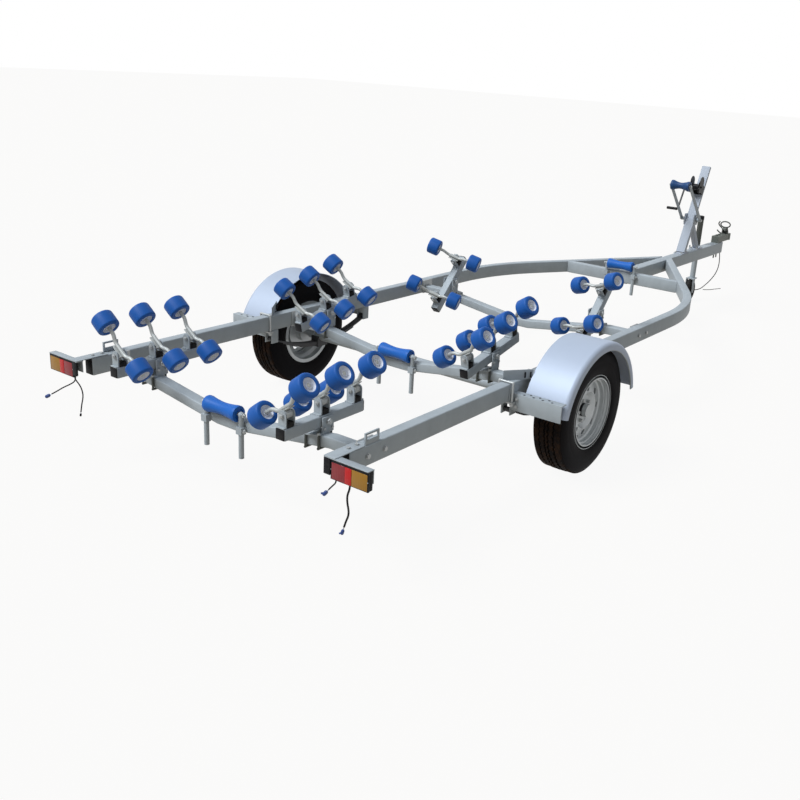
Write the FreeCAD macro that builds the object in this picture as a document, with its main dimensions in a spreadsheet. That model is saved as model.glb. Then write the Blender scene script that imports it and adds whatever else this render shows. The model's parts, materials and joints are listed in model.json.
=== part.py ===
"""Single-axle roller trailer for a boat, standing on its two wheels and its jockey wheel.

X is the trailer's right, Y is forward to the coupling and Z is up. The origin lies on the floor,
half way along the trailer. Every place along the trailer is first measured from the axle.
"""
import FreeCAD, Part
import Sketcher
import math
import os

SIZES = {
    # Reach of the whole trailer from the axle, and the clearances between pieces
    "front_reach": 4760,
    "rear_overhang": 1670,
    "running_clearance": 0.5,
    "moving_clearance": 6,
    "bolt_seat": 0.3,
    "weld_bead": 0.5,
    # Side rails
    "rail_inner_half": 776,
    "rail_width": 56,
    "rail_depth": 87,
    "rail_top": 525,
    "rail_tail": 1586,
    "rail_bend_start": 1500,
    "rail_bend_radius": 1500,
    "rail_turn": 28.6,
    # Crossmembers, bent down at the middle, and the straight one at the nose
    "cross_rear": 1430,
    "cross_middle": 222,
    "cross_forward": 1040,
    "cross_width": 60,
    "cross_depth": 50,
    "cross_end_flat": 168,
    "cross_dip": 78,
    "cross_dip_half": 60,
    "nose_rear": 2460,
    "nose_width": 50,
    # Bolted joints between crossmembers and rails
    "clamp_plate": 8,
    "clamp_plate_width": 96,
    "rail_bolt_spread": 52,
    "rail_bolt_radius": 9,
    "rail_bolt_head": 7,
    "ubolt_radius": 6,
    "ubolt_drop": 16,
    "keeper_width": 24,
    "keeper_gap": 6,
    "keeper_rim": 12,
    # Drawbar and coupling
    "drawbar_width": 80,
    "drawbar_depth": 98,
    "drawbar_top": 520,
    "drawbar_inset": 210,
    "coupling_width": 66,
    "coupling_depth": 58,
    "coupling_length": 330,
    "coupling_seat": 3,
    "socket_radius": 25.5,
    "socket_depth": 34,
    "coupling_wall": 14,
    "handle_width": 40,
    "handle_bar": 12,
    "handle_rise": 84,
    "handle_lean": 52,
    "window_start_share": 0.45,
    "window_end_share": 0.85,
    # Wheels
    "wheel_radius": 325,
    "wheel_gap": 146,
    "tyre_width": 180,
    "tyre_sidewall": 16,
    "tyre_shoulder_drop": 6,
    "tyre_shoulder_run": 14,
    "tyre_foot_share": 0.25,
    "tyre_belly_share": 0.52,
    "tyre_shoulder_share": 0.8,
    "bead_radius": 178,
    "rim_flange_radius": 193,
    "rim_width": 152,
    "bead_gap": 1,
    "rim_sheet": 6,
    "rim_well_radius": 156,
    "rim_well_half": 30,
    "rim_well_slope": 16,
    "rim_well_shift": 4,
    "disc_offset": 22,
    "disc_sheet": 8,
    "disc_flat": 16,
    "disc_crown": 22,
    "disc_crown_rise": 18,
    "disc_lap": 2,
    "disc_vent_radius": 16,
    "disc_vent_ring": 118,
    "disc_vent_reach": 20,
    "hub_radius": 62,
    "hub_length": 96,
    "hub_cap_radius": 34,
    "hub_cap_length": 36,
    "drum_radius": 112,
    "drum_length": 46,
    "spindle_radius": 20,
    "spindle_room": 5,
    "overcut": 1,
    # Axle and springs
    "axle_radius": 30,
    "hub_inset": 106,
    "spring_half_span": 400,
    "spring_sag": 88,
    "spring_leaf": 8,
    "spring_width": 42,
    "second_leaf_share": 0.72,
    "third_leaf_share": 0.44,
    "hanger_plate": 6,
    "hanger_length": 52,
    "spring_eye_radius": 13,
    "saddle_length": 84,
    # Mudguards
    "guard_gap": 20,
    "guard_width": 232,
    "guard_radius": 392,
    "guard_centre_height": 300,
    "guard_sheet": 3,
    "guard_lip": 40,
    "guard_lip_radius": 22,
    "guard_rear_angle": 14,
    "guard_front_angle": 12,
    "guard_step_height": 476,
    "guard_step_depth": 86,
    "guard_step_length": 46,
    "guard_arm_width": 44,
    "guard_arm_sheet": 6,
    "guard_gusset_rise": 30,
    "web_height": 50,
    "web_rear": 428,
    "web_front": 304,
    "web_gap": 2,
    # Lamps and the strips that carry them
    "lamp_offset": 34,
    "lamp_width": 184,
    "lamp_height": 80,
    "lamp_thick": 20,
    "lens_thick": 10,
    "lens_border": 5,
    "lens_red_share": 0.38,
    "lens_bright_share": 0.18,
    "lens_joint": 1,
    "bracket_sheet": 4,
    "bracket_flange": 36,
    "strip_gap": 6,
    "loop_length": 84,
    "loop_height": 50,
    "loop_thick": 8,
    "loop_bar": 9,
    "loop_slot": 20,
    "loop_front": 1408,
    "loop_inset": 4,
    # Keel rollers on their stems
    "keel_half": 100,
    "keel_end_radius": 37,
    "keel_waist_radius": 25,
    "keel_axle_radius": 8,
    "keel_axle_height": 452,
    "keel_stem_radius": 12,
    "keel_eye_rim": 2,
    "keel_stem_foot": 250,
    "keel_front_height": 572,
    "keel_front_foot": 360,
    "keel_clamp": 34,
    "keel_clamp_wall": 4,
    "keel_lip_share": 0.78,
    "keel_neck_share": 0.28,
    "keel_edge": 3,
    # Wobble rollers and the beams that carry them
    "roller_radius": 52,
    "roller_length": 75,
    "roller_edge": 11,
    "roller_recess": 10,
    "roller_recess_radius": 27,
    "roller_spread": 143,
    "arm_radius": 9,
    "arm_bow": 36,
    "arm_flat": 30,
    "arm_kink": 84,
    "arm_cap": 8,
    "arm_cap_rim": 6,
    "sleeve_radius": 17,
    "sleeve_length": 40,
    "cheek_sheet": 6,
    "cheek_width": 42,
    "cheek_rim": 5,
    "beam_tube": 50,
    "beam_length": 470,
    "rocker_pitch": 200,
    "rocker_height": 92,
    "beam_pin_radius": 8,
    "saddle_sheet": 6,
    "saddle_foot": 88,
    "saddle_cheek": 64,
    "saddle_rim": 12,
    "pin_end": 6,
    "rear_set_inset": 251,
    "rear_set_pin": 1411,
    "rear_set_height": 532,
    "rear_set_lean": 37,
    "rear_set_pitch": 0.5,
    "middle_set_inset": 218,
    "middle_set_pin": 206,
    "middle_set_height": 556,
    "middle_set_lean": 33,
    "middle_set_pitch": 12.4,
    "front_set_inset": 236,
    "front_set_pin": 988,
    "front_set_height": 566,
    "front_set_lean": 25,
    "front_set_pitch": 47,
    "front_beam_length": 420,
    "front_rocker_pitch": 300,
    "front_set_shift": -25,
    # Winch post, bow roller and winch
    "post_inset": 1130,
    "post_width": 74,
    "post_depth": 40,
    "joint_lead": 122,
    "joint_height": 800,
    "brace_spread": 340,
    "brace_width": 40,
    "brace_tuck_along": 14,
    "brace_tuck_down": 18,
    "mast_length": 473,
    "mast_depth": 26,
    "joint_plate": 6,
    "joint_plate_side": 92,
    "base_plate_length": 120,
    "base_plate_sheet": 8,
    "bow_inset": 210,
    "bow_height": 1104,
    "bow_half": 78,
    "bow_end_radius": 40,
    "bow_waist_radius": 24,
    "bow_axle_radius": 8,
    "arm_plate": 6,
    "arm_plate_width": 34,
    "spacer_radius": 14,
    "winch_lift": 255,
    "winch_offset": 95,
    "winch_half": 36,
    "drum_core": 16,
    "drum_flange": 30,
    "drum_side_gap": 2,
    "winch_plate": 4,
    "winch_plate_side": 74,
    "winch_axle_radius": 8,
    "crank_offset": 97,
    "crank_reach": 215,
    "crank_angle": 28,
    "grip_clearance": 0.05,
    "crank_bar": 9,
    "crank_hub_radius": 15,
    "grip_length": 92,
    "grip_radius": 12,
    # Jockey wheel
    "jockey_across": 78,
    "jockey_inset": 550,
    "jockey_tube_radius": 24,
    "jockey_top": 762,
    "jockey_wheel_radius": 100,
    "jockey_wheel_width": 50,
    "jockey_trail": 40,
    "jockey_clamp_height": 62,
    "jockey_clamp_wall": 10,
    "jockey_clamp_drop": 18,
    "clamp_screw_radius": 6,
    "clamp_screw_sink": 2,
    "clamp_handle_reach": 34,
    "jockey_cap_rim": 3,
    "jockey_cap_height": 9,
    "jockey_pivot_radius": 9,
    "jockey_pivot_sink": 2,
    "jockey_pivot_root": 8,
    "jockey_dish": 8,
    "jockey_hub_radius": 26,
    "jockey_hub_slope": 4,
    "jockey_tyre_depth": 30,
    "jockey_tyre_slope": 6,
    "jockey_tyre_edge": 3,
    "jockey_tread_drop": 9,
    "jockey_tread_round": 12,
    "fork_sheet": 5,
    "fork_width": 44,
    "jockey_axle_radius": 8,
    "crown_sheet": 8,
    # Leads
    "lead_radius": 3,
    "sheath_radius": 4,
    "plug_radius": 8,
    "plug_length": 34,
    "cable_end_rim": 1,
    "cable_end_length": 22,
    "cable_exit_lift": 7,
    "cable_exit_across": 22,
    "tail_across": 9,
    "tail_back": 26,
    "lead_bed": 0.5,
    "lead_left_inset": 12,
    "lead_right_inset": 14,
    "short_lead_inset": 30,
    "sheath_inset": 82,
    "short_lead_step": 6,
}

doc = FreeCAD.newDocument("boat_trailer")
sheet = doc.addObject("Spreadsheet::Sheet", "Sizes")
for row, (alias, number) in enumerate(SIZES.items(), start=1):
    sheet.set(f"A{row}", alias)
    sheet.set(f"B{row}", str(number))
    sheet.setAlias(f"B{row}", alias)
doc.recompute()


class Size:
    """A number together with the formula that gives it from the sheet."""

    def __init__(self, number, formula):
        self.number = float(number)
        self.formula = formula

    def __add__(self, other):
        other = as_size(other)
        return Size(self.number + other.number, f"({self.formula} + {other.formula})")

    def __sub__(self, other):
        other = as_size(other)
        return Size(self.number - other.number, f"({self.formula} - {other.formula})")

    def __mul__(self, other):
        other = as_size(other)
        return Size(self.number * other.number, f"({self.formula} * {other.formula})")

    def __truediv__(self, other):
        other = as_size(other)
        return Size(self.number / other.number, f"({self.formula} / {other.formula})")

    def __radd__(self, other):
        return as_size(other) + self

    def __rsub__(self, other):
        return as_size(other) - self

    def __rmul__(self, other):
        return as_size(other) * self

    def __neg__(self):
        return Size(-self.number, f"(0 - {self.formula})")


def as_size(value):
    """Give a plain number the form of a Size."""
    if isinstance(value, Size):
        return value
    return Size(value, f"({float(value)!r})")


def cosine(angle):
    angle = as_size(angle)
    return Size(math.cos(math.radians(angle.number)), f"cos({angle.formula})")


def sine(angle):
    angle = as_size(angle)
    return Size(math.sin(math.radians(angle.number)), f"sin({angle.formula})")


def tangent(angle):
    angle = as_size(angle)
    return Size(math.tan(math.radians(angle.number)), f"tan({angle.formula})")


def slope_angle(rise, run):
    rise, run = as_size(rise), as_size(run)
    degrees = math.degrees(math.atan2(rise.number, run.number))
    return Size(degrees, f"atan2({rise.formula}; {run.formula})")


def distance(first, second):
    first, second = as_size(first), as_size(second)
    return Size(math.hypot(first.number, second.number), f"hypot({first.formula}; {second.formula})")


class SheetReader:
    """Gives each alias of the sheet as a Size, by its name."""

    def __getattr__(self, alias):
        return Size(SIZES[alias], f"Sizes.{alias}")


S = SheetReader()
MIDDLE = (S.front_reach - S.rear_overhang) / 2
RAIL_LOW = S.rail_top - S.rail_depth
RAIL_OUTER = S.rail_inner_half + S.rail_width
DRAWBAR_END = S.front_reach - S.drawbar_inset
POST_BASE = S.front_reach - S.post_inset
BRACE_BASE = POST_BASE + S.brace_spread
WHEEL_CENTRE = RAIL_OUTER + S.wheel_gap
GUARD_INNER = WHEEL_CENTRE - S.tyre_width / 2 - S.guard_gap
GUARD_OUTER = GUARD_INNER + S.guard_width
UBOLT_PLACE = -(S.spring_half_span + S.hanger_length / 2 + S.keeper_gap + S.keeper_width / 2)
ENDS = (("rear", -1), ("front", 1))
OBJECTS = []
NODES = []


def along(from_axle):
    """Turn a place measured forward from the axle into the trailer's own Y."""
    return as_size(from_axle) - MIDDLE


def add(kind, name):
    item = doc.addObject(kind, name)
    OBJECTS.append(item)
    return item


def bind(item, name, value):
    """Set a size of an object and bind it to the sheet."""
    value = as_size(value)
    setattr(item, name, value.number)
    item.setExpression(name, value.formula)


def put(item, x=0, y=0, z=0, yaw=0, pitch=0, roll=0):
    """Place an object, with its turns about Z, Y and X in degrees."""
    x, y, z = as_size(x), as_size(y), as_size(z)
    yaw, pitch, roll = as_size(yaw), as_size(pitch), as_size(roll)
    item.setExpression("Placement", (
        f"placement(vector({x.formula}; {y.formula}; {z.formula}); "
        f"rotation({yaw.formula}; {pitch.formula}; {roll.formula}))"))
    return item


def span(name, low, high):
    """A box given by its lowest and highest corners."""
    item = add("Part::Box", name)
    for side, first, last in zip(("Length", "Width", "Height"), low, high):
        bind(item, side, as_size(last) - as_size(first))
    return put(item, *low)


TURNS = {"x": {"pitch": 90}, "y": {"roll": -90}, "z": {}}


def rod(name, start, axis, radius, length):
    """A round bar that starts at a point and runs along X, Y or Z."""
    item = add("Part::Cylinder", name)
    bind(item, "Radius", radius)
    bind(item, "Height", length)
    return put(item, *start, **TURNS[axis])


def ball(name, centre, radius):
    item = add("Part::Sphere", name)
    bind(item, "Radius", radius)
    return put(item, *centre)


def strut(name, start, end, radius):
    """A round bar in the XZ plane between two points (x, z)."""
    across = as_size(end[0]) - as_size(start[0])
    up = as_size(end[1]) - as_size(start[1])
    item = add("Part::Cylinder", name)
    bind(item, "Radius", radius)
    bind(item, "Height", distance(across, up))
    return put(item, start[0], 0, start[1], pitch=slope_angle(across, up))


def bar(name, centre_x, start, end, width, depth):
    """A flat bar in the YZ plane between two points (y, z), centred on that line."""
    forward = as_size(end[0]) - as_size(start[0])
    up = as_size(end[1]) - as_size(start[1])
    angle = slope_angle(up, forward)
    item = add("Part::Box", name)
    bind(item, "Length", width)
    bind(item, "Width", distance(forward, up))
    bind(item, "Height", depth)
    half = as_size(depth) / 2
    return put(item, as_size(centre_x) - as_size(width) / 2, start[0] + half * sine(angle),
               start[1] - half * cosine(angle), roll=angle)


def fused(name, pieces):
    item = add("Part::MultiFuse", name)
    item.Shapes = pieces
    item.Refine = True
    return item


def cut(name, base, tool):
    item = add("Part::Cut", name)
    item.Base = base
    item.Tool = tool
    return item


def common(name, pieces):
    item = add("Part::MultiCommon", name)
    item.Shapes = pieces
    return item


def grouped(name, pieces):
    item = add("Part::Compound", name)
    item.Links = pieces
    return item


def linked(name, source, x=0, y=0, z=0, yaw=0, pitch=0, roll=0):
    """One more copy of a piece at a place of its own."""
    item = add("App::Link", name)
    item.LinkedObject = source
    return put(item, x, y, z, yaw, pitch, roll)


def mirrored(name, source):
    """The same piece on the other side of the trailer."""
    item = add("Part::Mirroring", name)
    item.Source = source
    item.Normal = FreeCAD.Vector(1, 0, 0)
    return item


def node(label, item):
    """Name a finished sub-part; its label names its file."""
    item.Label = label
    NODES.append(item)
    return item


def outline_body(name, plane, points):
    """A body with a closed polygon sketch whose corners are bound to the sheet."""
    body = add("PartDesign::Body", name)
    sketch = body.newObject("Sketcher::SketchObject", f"{name}_outline")
    OBJECTS.append(sketch)
    support = next(part for part in body.Origin.OriginFeatures if part.Role == plane)
    sketch.AttachmentSupport = (support, [""])
    sketch.MapMode = "FlatFace"
    corners = [(as_size(first), as_size(second)) for first, second in points]
    vectors = [FreeCAD.Vector(first.number, second.number, 0) for first, second in corners]
    count = len(vectors)
    for index in range(count):
        sketch.addGeometry(Part.LineSegment(vectors[index], vectors[(index + 1) % count]), False)
    for index in range(count):
        sketch.addConstraint(Sketcher.Constraint("Coincident", index, 2, (index + 1) % count, 1))
    for index, corner in enumerate(corners):
        for kind, value in zip(("DistanceX", "DistanceY"), corner):
            number = sketch.addConstraint(Sketcher.Constraint(kind, -1, 1, index, 1, value.number))
            sketch.setExpression(f"Constraints[{number}]", value.formula)
    doc.recompute()
    return body, sketch


def padded(name, plane, points, depth):
    """A polygon pushed out to a depth, along the normal of its plane."""
    body, sketch = outline_body(name, plane, points)
    pad = body.newObject("PartDesign::Pad", f"{name}_pad")
    OBJECTS.append(pad)
    pad.Profile = sketch
    bind(pad, "Length", depth)
    doc.recompute()
    return body


def turned(name, points, degrees=360):
    """A polygon of (along X, radius) turned about the X axis."""
    body, sketch = outline_body(name, "XY_Plane", points)
    turn = body.newObject("PartDesign::Revolution", f"{name}_turn")
    OBJECTS.append(turn)
    turn.Profile = sketch
    turn.ReferenceAxis = (sketch, ["H_Axis"])
    bind(turn, "Angle", degrees)
    doc.recompute()
    return body


def rounded(body, radius, wanted):
    """Round the edges of a body that a test picks out."""
    base = body.Tip
    names = [f"Edge{number}" for number, edge in enumerate(base.Shape.Edges, start=1) if wanted(edge)]
    fillet = body.newObject("PartDesign::Fillet", f"{body.Name}_round_{len(OBJECTS)}")
    OBJECTS.append(fillet)
    fillet.Base = (base, names)
    bind(fillet, "Radius", radius)
    doc.recompute()
    return body


def circle_at(x, radius):
    """A test for the round edge that lies at a place along X with a radius."""
    def test(edge):
        box = edge.BoundBox
        flat = box.XLength < 0.01 and abs(box.XMin - x) < 0.05
        return flat and abs(box.ZMax - radius) < 0.05
    return test


# Side rails: straight, then bent in to meet the drawbar
def build_rails():
    half = S.rail_width / 2
    centre = S.rail_inner_half + half
    corner = S.rail_tail + S.rail_bend_start + S.rail_bend_radius * tangent(S.rail_turn / 2)
    shift = half * tangent(S.rail_turn / 2)
    outer = centre + half
    stop = S.drawbar_width / 2
    outer_end = corner + shift + (outer - stop) / tangent(S.rail_turn)
    inner_end = corner - shift + (S.rail_inner_half - stop) / tangent(S.rail_turn)
    body = padded("rail_right", "XY_Plane", [
        (S.rail_inner_half, 0), (outer, 0), (outer, corner + shift),
        (stop, outer_end), (stop, inner_end), (S.rail_inner_half, corner - shift)], S.rail_depth)

    def upright_at(x, y):
        def test(edge):
            box = edge.BoundBox
            return (abs(box.XMin - x) < 0.05 and abs(box.YMin - y) < 0.05
                    and box.XLength < 0.01 and box.YLength < 0.01)
        return test

    rounded(body, S.rail_bend_radius + half, upright_at(outer.number, (corner + shift).number))
    rounded(body, S.rail_bend_radius - half, upright_at(S.rail_inner_half.number, (corner - shift).number))
    put(body, 0, along(-S.rail_tail), S.rail_top - S.rail_depth)
    node("side_rail_right", body)
    node("side_rail_left", mirrored("rail_left", body))


def rail_inner_face(from_axle):
    """X of the rail's inner face on its slanting front stretch."""
    corner = S.rail_bend_start + S.rail_bend_radius * tangent(S.rail_turn / 2)
    shift = S.rail_width / 2 * tangent(S.rail_turn / 2)
    return S.rail_inner_half - (from_axle - corner + shift) * tangent(S.rail_turn)


CROSSMEMBERS = {"rear": -S.cross_rear, "middle": -S.cross_middle, "forward": S.cross_forward}


def build_crossmembers():
    reach = S.rail_inner_half - S.clamp_plate
    low = S.rail_top - S.rail_depth
    flat = S.rail_inner_half - S.cross_end_flat
    dip = low - S.cross_dip
    under = [(-reach, low), (-flat, low), (-S.cross_dip_half, dip),
             (S.cross_dip_half, dip), (flat, low), (reach, low)]
    over = [(x, z + S.cross_depth) for x, z in reversed(under)]
    for name, place in CROSSMEMBERS.items():
        body = padded(f"cross_{name}", "XZ_Plane", under + over, S.cross_width)
        put(body, 0, along(place + S.cross_width / 2), 0)
        node(f"crossmember_{name}", body)
    front = S.nose_rear + S.nose_width
    body = padded("cross_nose", "XY_Plane", [
        (-rail_inner_face(S.nose_rear), 0), (rail_inner_face(S.nose_rear), 0),
        (rail_inner_face(front), S.nose_width), (-rail_inner_face(front), S.nose_width)], S.rail_depth)
    put(body, 0, along(S.nose_rear), S.rail_top - S.rail_depth)
    node("crossmember_nose", body)


def build_clamps():
    """End plates of the crossmembers with their bolt heads, and the U-bolts of the mudguard steps."""
    pieces = []
    half = S.clamp_plate_width / 2
    for name, place in CROSSMEMBERS.items():
        plate = span(f"end_plate_{name}",
                     (S.rail_inner_half - S.clamp_plate, along(place - half), RAIL_LOW),
                     (S.rail_inner_half, along(place + half), S.rail_top))
        pieces += [plate, mirrored(f"end_plate_left_{name}", plate)]
        for end, sign in ENDS:
            head = rod(f"rail_bolt_{name}_{end}",
                       (RAIL_OUTER, along(place + sign * S.rail_bolt_spread), S.rail_top - S.rail_depth / 2),
                       "x", S.rail_bolt_radius, S.rail_bolt_head)
            pieces += [head, mirrored(f"rail_bolt_left_{name}_{end}", head)]
    bolt = S.ubolt_radius
    seat = bolt + S.bolt_seat + S.weld_bead
    inner = S.rail_inner_half - seat
    outer = RAIL_OUTER + S.guard_arm_sheet + seat
    top = S.rail_top + seat
    foot = RAIL_LOW - S.clamp_plate - S.ubolt_drop
    y = along(UBOLT_PLACE)
    ubolt = fused("ubolt_right", [
        span("ubolt_keeper", (inner - S.keeper_rim, y - S.keeper_width / 2, RAIL_LOW - S.clamp_plate),
             (outer + S.keeper_rim, y + S.keeper_width / 2, RAIL_LOW)),
        rod("ubolt_leg_in", (inner, y, foot), "z", bolt, top - foot),
        rod("ubolt_leg_out", (outer, y, foot), "z", bolt, top - foot),
        rod("ubolt_bridge", (inner, y, top), "x", bolt, outer - inner),
        ball("ubolt_knee_in", (inner, y, top), bolt + S.weld_bead),
        ball("ubolt_knee_out", (outer, y, top), bolt + S.weld_bead)])
    pieces += [ubolt, mirrored("ubolt_left", ubolt)]
    node("crossmember_clamps", grouped("clamps", pieces))


def build_drawbar():
    half = S.drawbar_width / 2
    tube = span("drawbar_tube", (-half, along(S.nose_rear + S.nose_width), S.drawbar_top - S.drawbar_depth),
                (half, along(DRAWBAR_END), S.drawbar_top))
    node("drawbar", grouped("drawbar_piece", [tube]))


def build_coupling():
    """Ball coupling on the drawbar, with its lever and finger loop."""
    head = S.socket_radius + S.coupling_wall
    centre = S.front_reach - head
    base = S.drawbar_top + S.coupling_seat
    top = base + S.coupling_depth
    half = S.coupling_width / 2
    rear = along(S.front_reach - S.coupling_length)
    housing = span("coupling_housing", (-half, rear, base), (half, along(centre), top))
    nose = rod("coupling_nose", (0, along(centre), base), "z", head, S.coupling_depth)
    shoe = span("coupling_shoe", (-half, rear, S.drawbar_top), (half, along(DRAWBAR_END), base))
    socket = rod("ball_socket", (0, along(centre), base), "z", S.socket_radius, S.socket_depth)
    whole = fused("coupling_whole", [housing, nose, shoe])
    node("coupling_body", grouped("coupling_piece", [cut("coupling_hollow", whole, socket)]))
    start = (along(centre - S.socket_radius), top + S.handle_bar)
    end = (start[0] - S.handle_rise * sine(S.handle_lean), top + S.handle_rise * cosine(S.handle_lean))
    lever = bar("lever_plate", 0, start, end, S.handle_width, S.handle_bar)
    forward, up = end[0] - start[0], end[1] - start[1]
    window_start = (start[0] + forward * S.window_start_share, start[1] + up * S.window_start_share)
    window_end = (start[0] + forward * S.window_end_share, start[1] + up * S.window_end_share)
    window = bar("lever_window", 0, window_start, window_end, S.handle_width - 2 * S.loop_bar,
                 S.handle_bar * 3)
    loop = cut("lever_loop", lever, window)
    foot = span("lever_foot", (-S.handle_width / 2, start[0] - S.handle_bar, top),
                (S.handle_width / 2, start[0] + S.handle_bar, top + 2 * S.handle_bar))
    node("coupling_handle", grouped("handle_piece", [fused("handle_whole", [loop, foot])]))


def build_axle():
    z = S.wheel_radius
    half = WHEEL_CENTRE - S.hub_inset
    beam = rod("axle_tube", (-half, along(0), z), "x", S.axle_radius, half * 2)
    reach = WHEEL_CENTRE + S.disc_offset + S.moving_clearance
    spindle = rod("axle_spindle", (-reach, along(0), z), "x", S.spindle_radius, reach * 2)
    node("axle_beam", grouped("axle_piece", [fused("axle_whole", [beam, spindle])]))


def spring_circle():
    """Radius of the spring's curve, from its half span and its sag."""
    return (S.spring_half_span * S.spring_half_span + S.spring_sag * S.spring_sag) / (2 * S.spring_sag)


def build_springs():
    """Leaf springs slung under the axle, each with the block that clamps it, and their hangers."""
    radius = spring_circle()
    leaf = S.spring_leaf
    width = S.spring_width
    base = S.wheel_radius - S.axle_radius
    centre = base + radius
    start = S.rail_inner_half + S.rail_width / 2 - width / 2
    parts = []
    shares = ((1, "main"), (S.second_leaf_share, "second"), (S.third_leaf_share, "third"))
    for layer, (share, name) in enumerate(shares):
        inner = radius + layer * leaf
        outside = rod(f"leaf_out_{name}", (start, along(0), centre), "x", inner + leaf, width)
        inside = rod(f"leaf_in_{name}", (start - S.overcut, along(0), centre), "x", inner,
                     width + 2 * S.overcut)
        reach = S.spring_half_span * share
        window = span(f"leaf_window_{name}", (start, along(-reach), base - (layer + 2) * leaf),
                      (start + width, along(reach), S.rail_top))
        parts.append(common(f"leaf_{name}", [cut(f"leaf_ring_{name}", outside, inside), window]))
    eye_height = base + S.spring_sag - leaf / 2
    for end, sign in ENDS:
        parts.append(rod(f"eye_{end}", (start, along(sign * S.spring_half_span), eye_height), "x",
                         S.spring_eye_radius, width))
    block_out = span("spring_block",
                     (start - S.hanger_plate, along(-S.saddle_length / 2), base - 4 * leaf),
                     (start + width + S.hanger_plate, along(S.saddle_length / 2), base + S.axle_radius))
    seat = rod("spring_block_seat", (start - 2 * S.hanger_plate, along(0), S.wheel_radius), "x",
               S.axle_radius + S.bolt_seat, width + 4 * S.hanger_plate)
    parts.append(cut("spring_block_open", block_out, seat))
    right = fused("spring_right", parts)
    node("leaf_springs", grouped("springs", [right, mirrored("spring_left", right)]))
    pieces = []
    first = start - S.hanger_plate - S.bolt_seat
    last = start + width + S.bolt_seat
    low = eye_height - S.spring_eye_radius - S.hanger_plate
    for end, sign in ENDS:
        y = along(sign * S.spring_half_span)
        half = S.hanger_length / 2
        hanger = fused(f"hanger_{end}", [
            span(f"hanger_in_{end}", (first, y - half, low), (first + S.hanger_plate, y + half, RAIL_LOW)),
            span(f"hanger_out_{end}", (last, y - half, low), (last + S.hanger_plate, y + half, RAIL_LOW)),
            span(f"hanger_cap_{end}", (first, y - half, RAIL_LOW - S.hanger_plate),
                 (last + S.hanger_plate, y + half, RAIL_LOW))])
        pieces += [hanger, mirrored(f"hanger_left_{end}", hanger)]
    node("spring_hangers", grouped("hangers", pieces))


def build_tyre():
    """Tyre with the wheel's centre at X zero."""
    half = S.tyre_width / 2
    tread = S.wheel_radius
    bead = S.bead_radius
    wall = tread - bead
    rim_half = S.rim_width / 2
    fold = half - S.tyre_sidewall / 4
    shoulder = half - S.tyre_sidewall
    side = [(rim_half, bead + S.bead_gap), (rim_half, S.rim_flange_radius + S.bead_gap),
            (fold, bead + wall * S.tyre_foot_share), (half, bead + wall * S.tyre_belly_share),
            (fold, bead + wall * S.tyre_shoulder_share), (shoulder, tread - S.tyre_shoulder_drop),
            (shoulder - S.tyre_shoulder_run, tread)]
    return turned("tyre", side + [(-x, radius) for x, radius in reversed(side)])


def build_rim():
    """Rim with its vented disc, hub, brake drum and cap, with the wheel's centre at X zero."""
    bead, sheet_thick, well = S.bead_radius, S.rim_sheet, S.rim_well_radius
    rim_half = S.rim_width / 2
    edge = rim_half + sheet_thick
    slope_end = S.rim_well_half + S.rim_well_slope
    shift = S.rim_well_shift
    inside = [(S.rim_well_half, well), (slope_end, bead - sheet_thick), (edge, bead - sheet_thick),
              (edge, S.rim_flange_radius), (rim_half, S.rim_flange_radius), (rim_half, bead),
              (slope_end + shift, bead), (S.rim_well_half + shift, well + sheet_thick)]
    rim = turned("rim_barrel", inside + [(-x, radius) for x, radius in reversed(inside)])
    disc, plate = S.disc_offset, S.disc_sheet
    flat = S.hub_radius + S.disc_flat
    crown = flat + S.disc_crown_rise
    bore = S.spindle_radius + S.running_clearance
    centre = turned("rim_disc", [
        (disc - plate, bore), (disc, bore), (disc, flat), (disc + S.disc_crown, crown), (disc + plate, well),
        (disc, well), (disc + S.disc_crown - plate, crown + S.disc_lap), (disc - plate, flat + S.disc_lap)])
    holes = []
    for index in range(8):
        angle = 45 * index
        place = (disc - S.disc_vent_reach, S.disc_vent_ring * cosine(angle), S.disc_vent_ring * sine(angle))
        holes.append(rod(f"vent_{index}", place, "x", S.disc_vent_radius, 3 * S.disc_vent_reach))
    vented = cut("rim_vented", centre, fused("vents", holes))
    back = disc - plate
    hub = rod("hub_barrel", (disc - S.hub_length, 0, 0), "x", S.hub_radius, S.hub_length - plate)
    drum = rod("brake_drum", (back - S.drum_length, 0, 0), "x", S.drum_radius, S.drum_length)
    cap = rod("hub_cap", (back, 0, 0), "x", S.hub_cap_radius, S.hub_cap_length + plate)
    seat = rod("spindle_bore", (disc - S.hub_length - S.overcut, 0, 0), "x", bore,
               S.hub_length + S.overcut + S.moving_clearance + S.spindle_room)
    middle = cut("hub_bored", fused("hub_solid", [hub, drum, cap]), seat)
    return fused("rim_whole", [rim, vented, middle])


def build_wheels():
    place = {"x": WHEEL_CENTRE, "y": along(0), "z": S.wheel_radius}
    for name, shape in (("tyre", build_tyre()), ("rim", build_rim())):
        right = grouped(f"{name}_piece", [linked(f"{name}_place", shape, **place)])
        node(f"{name}_right", right)
        node(f"{name}_left", mirrored(f"{name}_other", right))


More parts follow.
